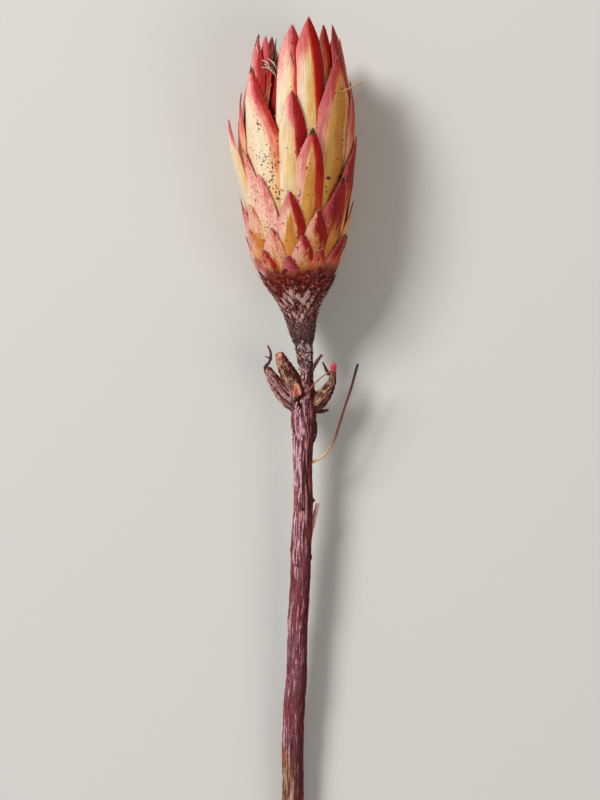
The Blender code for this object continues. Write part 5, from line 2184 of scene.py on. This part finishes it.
    def build(self, finishes: Finishes) -> None:
        """Make every loose bit, in the order in which they lie on each other.

        Args:
            finishes: the strands' materials by name.
        """
        grains = Piece("dark_grains")
        self.add_grains(grains)
        grains.build(Node.HEAD, finishes["dark_grain"])
        chance = random.Random(self.seed)
        for bits in BITS:
            drawn: list[Strand] = []
            if bits.name == "torn_fibres":
                drawn = self.torn_fibres()
            elif bits.name == "cone_shreds":
                drawn = self.drawn_shreds(chance)
            elif bits.name == "dark_fuzz":
                drawn = self.drawn_fuzz(chance)
            piece = Piece(bits.name)
            for strand in (*drawn, *bits.strands):
                self.add_strand(piece, strand)
            piece.build(bits.node, finishes[bits.finish])


# ---- the studio ----


@dataclass(frozen=True)
class Lamp:
    """One square soft lamp: its name, place in metres, side, power and colour."""

    name: str
    place: tuple[float, float, float]
    size: float
    power: float
    colour: tuple[float, float, float]


@dataclass
class Studio:
    """Plain floor, soft light from the upper left and a camera straight overhead. Sizes in metres."""

    floor_size: float = 6.0
    floor_faces: int = 8
    lamps: tuple[Lamp, ...] = (
        Lamp("key", (-1.32, 1.0, 1.42), 0.7, 45.0, (1.0, 0.98, 0.95)),
        Lamp("fill", (1.2, -0.8, 1.4), 1.2, 9.0, (1.0, 0.93, 0.84)),
    )
    lamp_aim: tuple[float, float, float] = (0.0, -0.08, 0.01)
    around: Colour = (1.0, 0.97, 0.93, 1.0)
    around_strength: float = 0.25
    camera_place: tuple[float, float, float] = (0.0010, -0.08375, 1.028)
    lens: float = 134.3
    sensor: float = 36.0
    nearest_seen: float = 0.05

    def lay_floor(self) -> None:
        """Lay the floor under the flower."""
        bm = bmesh.new()
        bmesh.ops.create_grid(bm, x_segments=self.floor_faces, y_segments=self.floor_faces,
                              size=self.floor_size / 2.0)
        mesh = bpy.data.meshes.new("studio_floor")
        bm.to_mesh(mesh)
        bm.free()
        mesh.materials.append(FloorFinish().make())
        floor = bpy.data.objects.new("studio_floor", mesh)
        bpy.context.scene.collection.objects.link(floor)

    def hang(self, lamp: Lamp) -> None:
        """Hang a lamp that points at the flower."""
        data = bpy.data.lights.new(lamp.name, "AREA")
        data.size = lamp.size
        data.energy = lamp.power
        data.color = lamp.colour
        hung = bpy.data.objects.new(lamp.name, data)
        hung.location = lamp.place
        aim = Vector(self.lamp_aim) - Vector(lamp.place)
        hung.rotation_euler = aim.to_track_quat("-Z", "Y").to_euler()
        bpy.context.scene.collection.objects.link(hung)

    def set_camera(self) -> None:
        """Set the camera straight over the flower."""
        data = bpy.data.cameras.new("overhead")
        data.lens = self.lens
        data.sensor_width = self.sensor
        data.clip_start = self.nearest_seen
        camera = bpy.data.objects.new("overhead", data)
        camera.location = self.camera_place
        bpy.context.scene.collection.objects.link(camera)
        bpy.context.scene.camera = camera

    def build(self) -> None:
        """Set the floor, the lamps, the surroundings and the camera."""
        self.lay_floor()
        for lamp in self.lamps:
            self.hang(lamp)
        world = bpy.data.worlds.new("surroundings")
        world.use_nodes = True
        background = world.node_tree.nodes["Background"]
        background.inputs["Color"].default_value = self.around
        background.inputs["Strength"].default_value = self.around_strength
        bpy.context.scene.world = world
        bpy.context.scene.view_settings.view_transform = "Standard"
        self.set_camera()


def main() -> None:
    """Build the flower from the head down to the stem's cut end, then the studio."""
    logging.basicConfig(level=logging.INFO, format="%(name)s %(message)s")
    finishes = {look.name: look.make() for look in STRAND_FINISHES}
    shape = HeadShape()
    FlowerHead(shape, BractMaker(shape)).build(BractFinish().make(), finishes)
    SmallScales(shape).build(ScaleFinish().make(), finishes)
    stem = WoodyStem()
    stem.build_trunk(BarkFinish().make(), WoodFinish().make())
    stem.build_twigs(finishes)
    LooseBits().build(finishes)
    Studio().build()


if __name__ == "__main__":
    main()
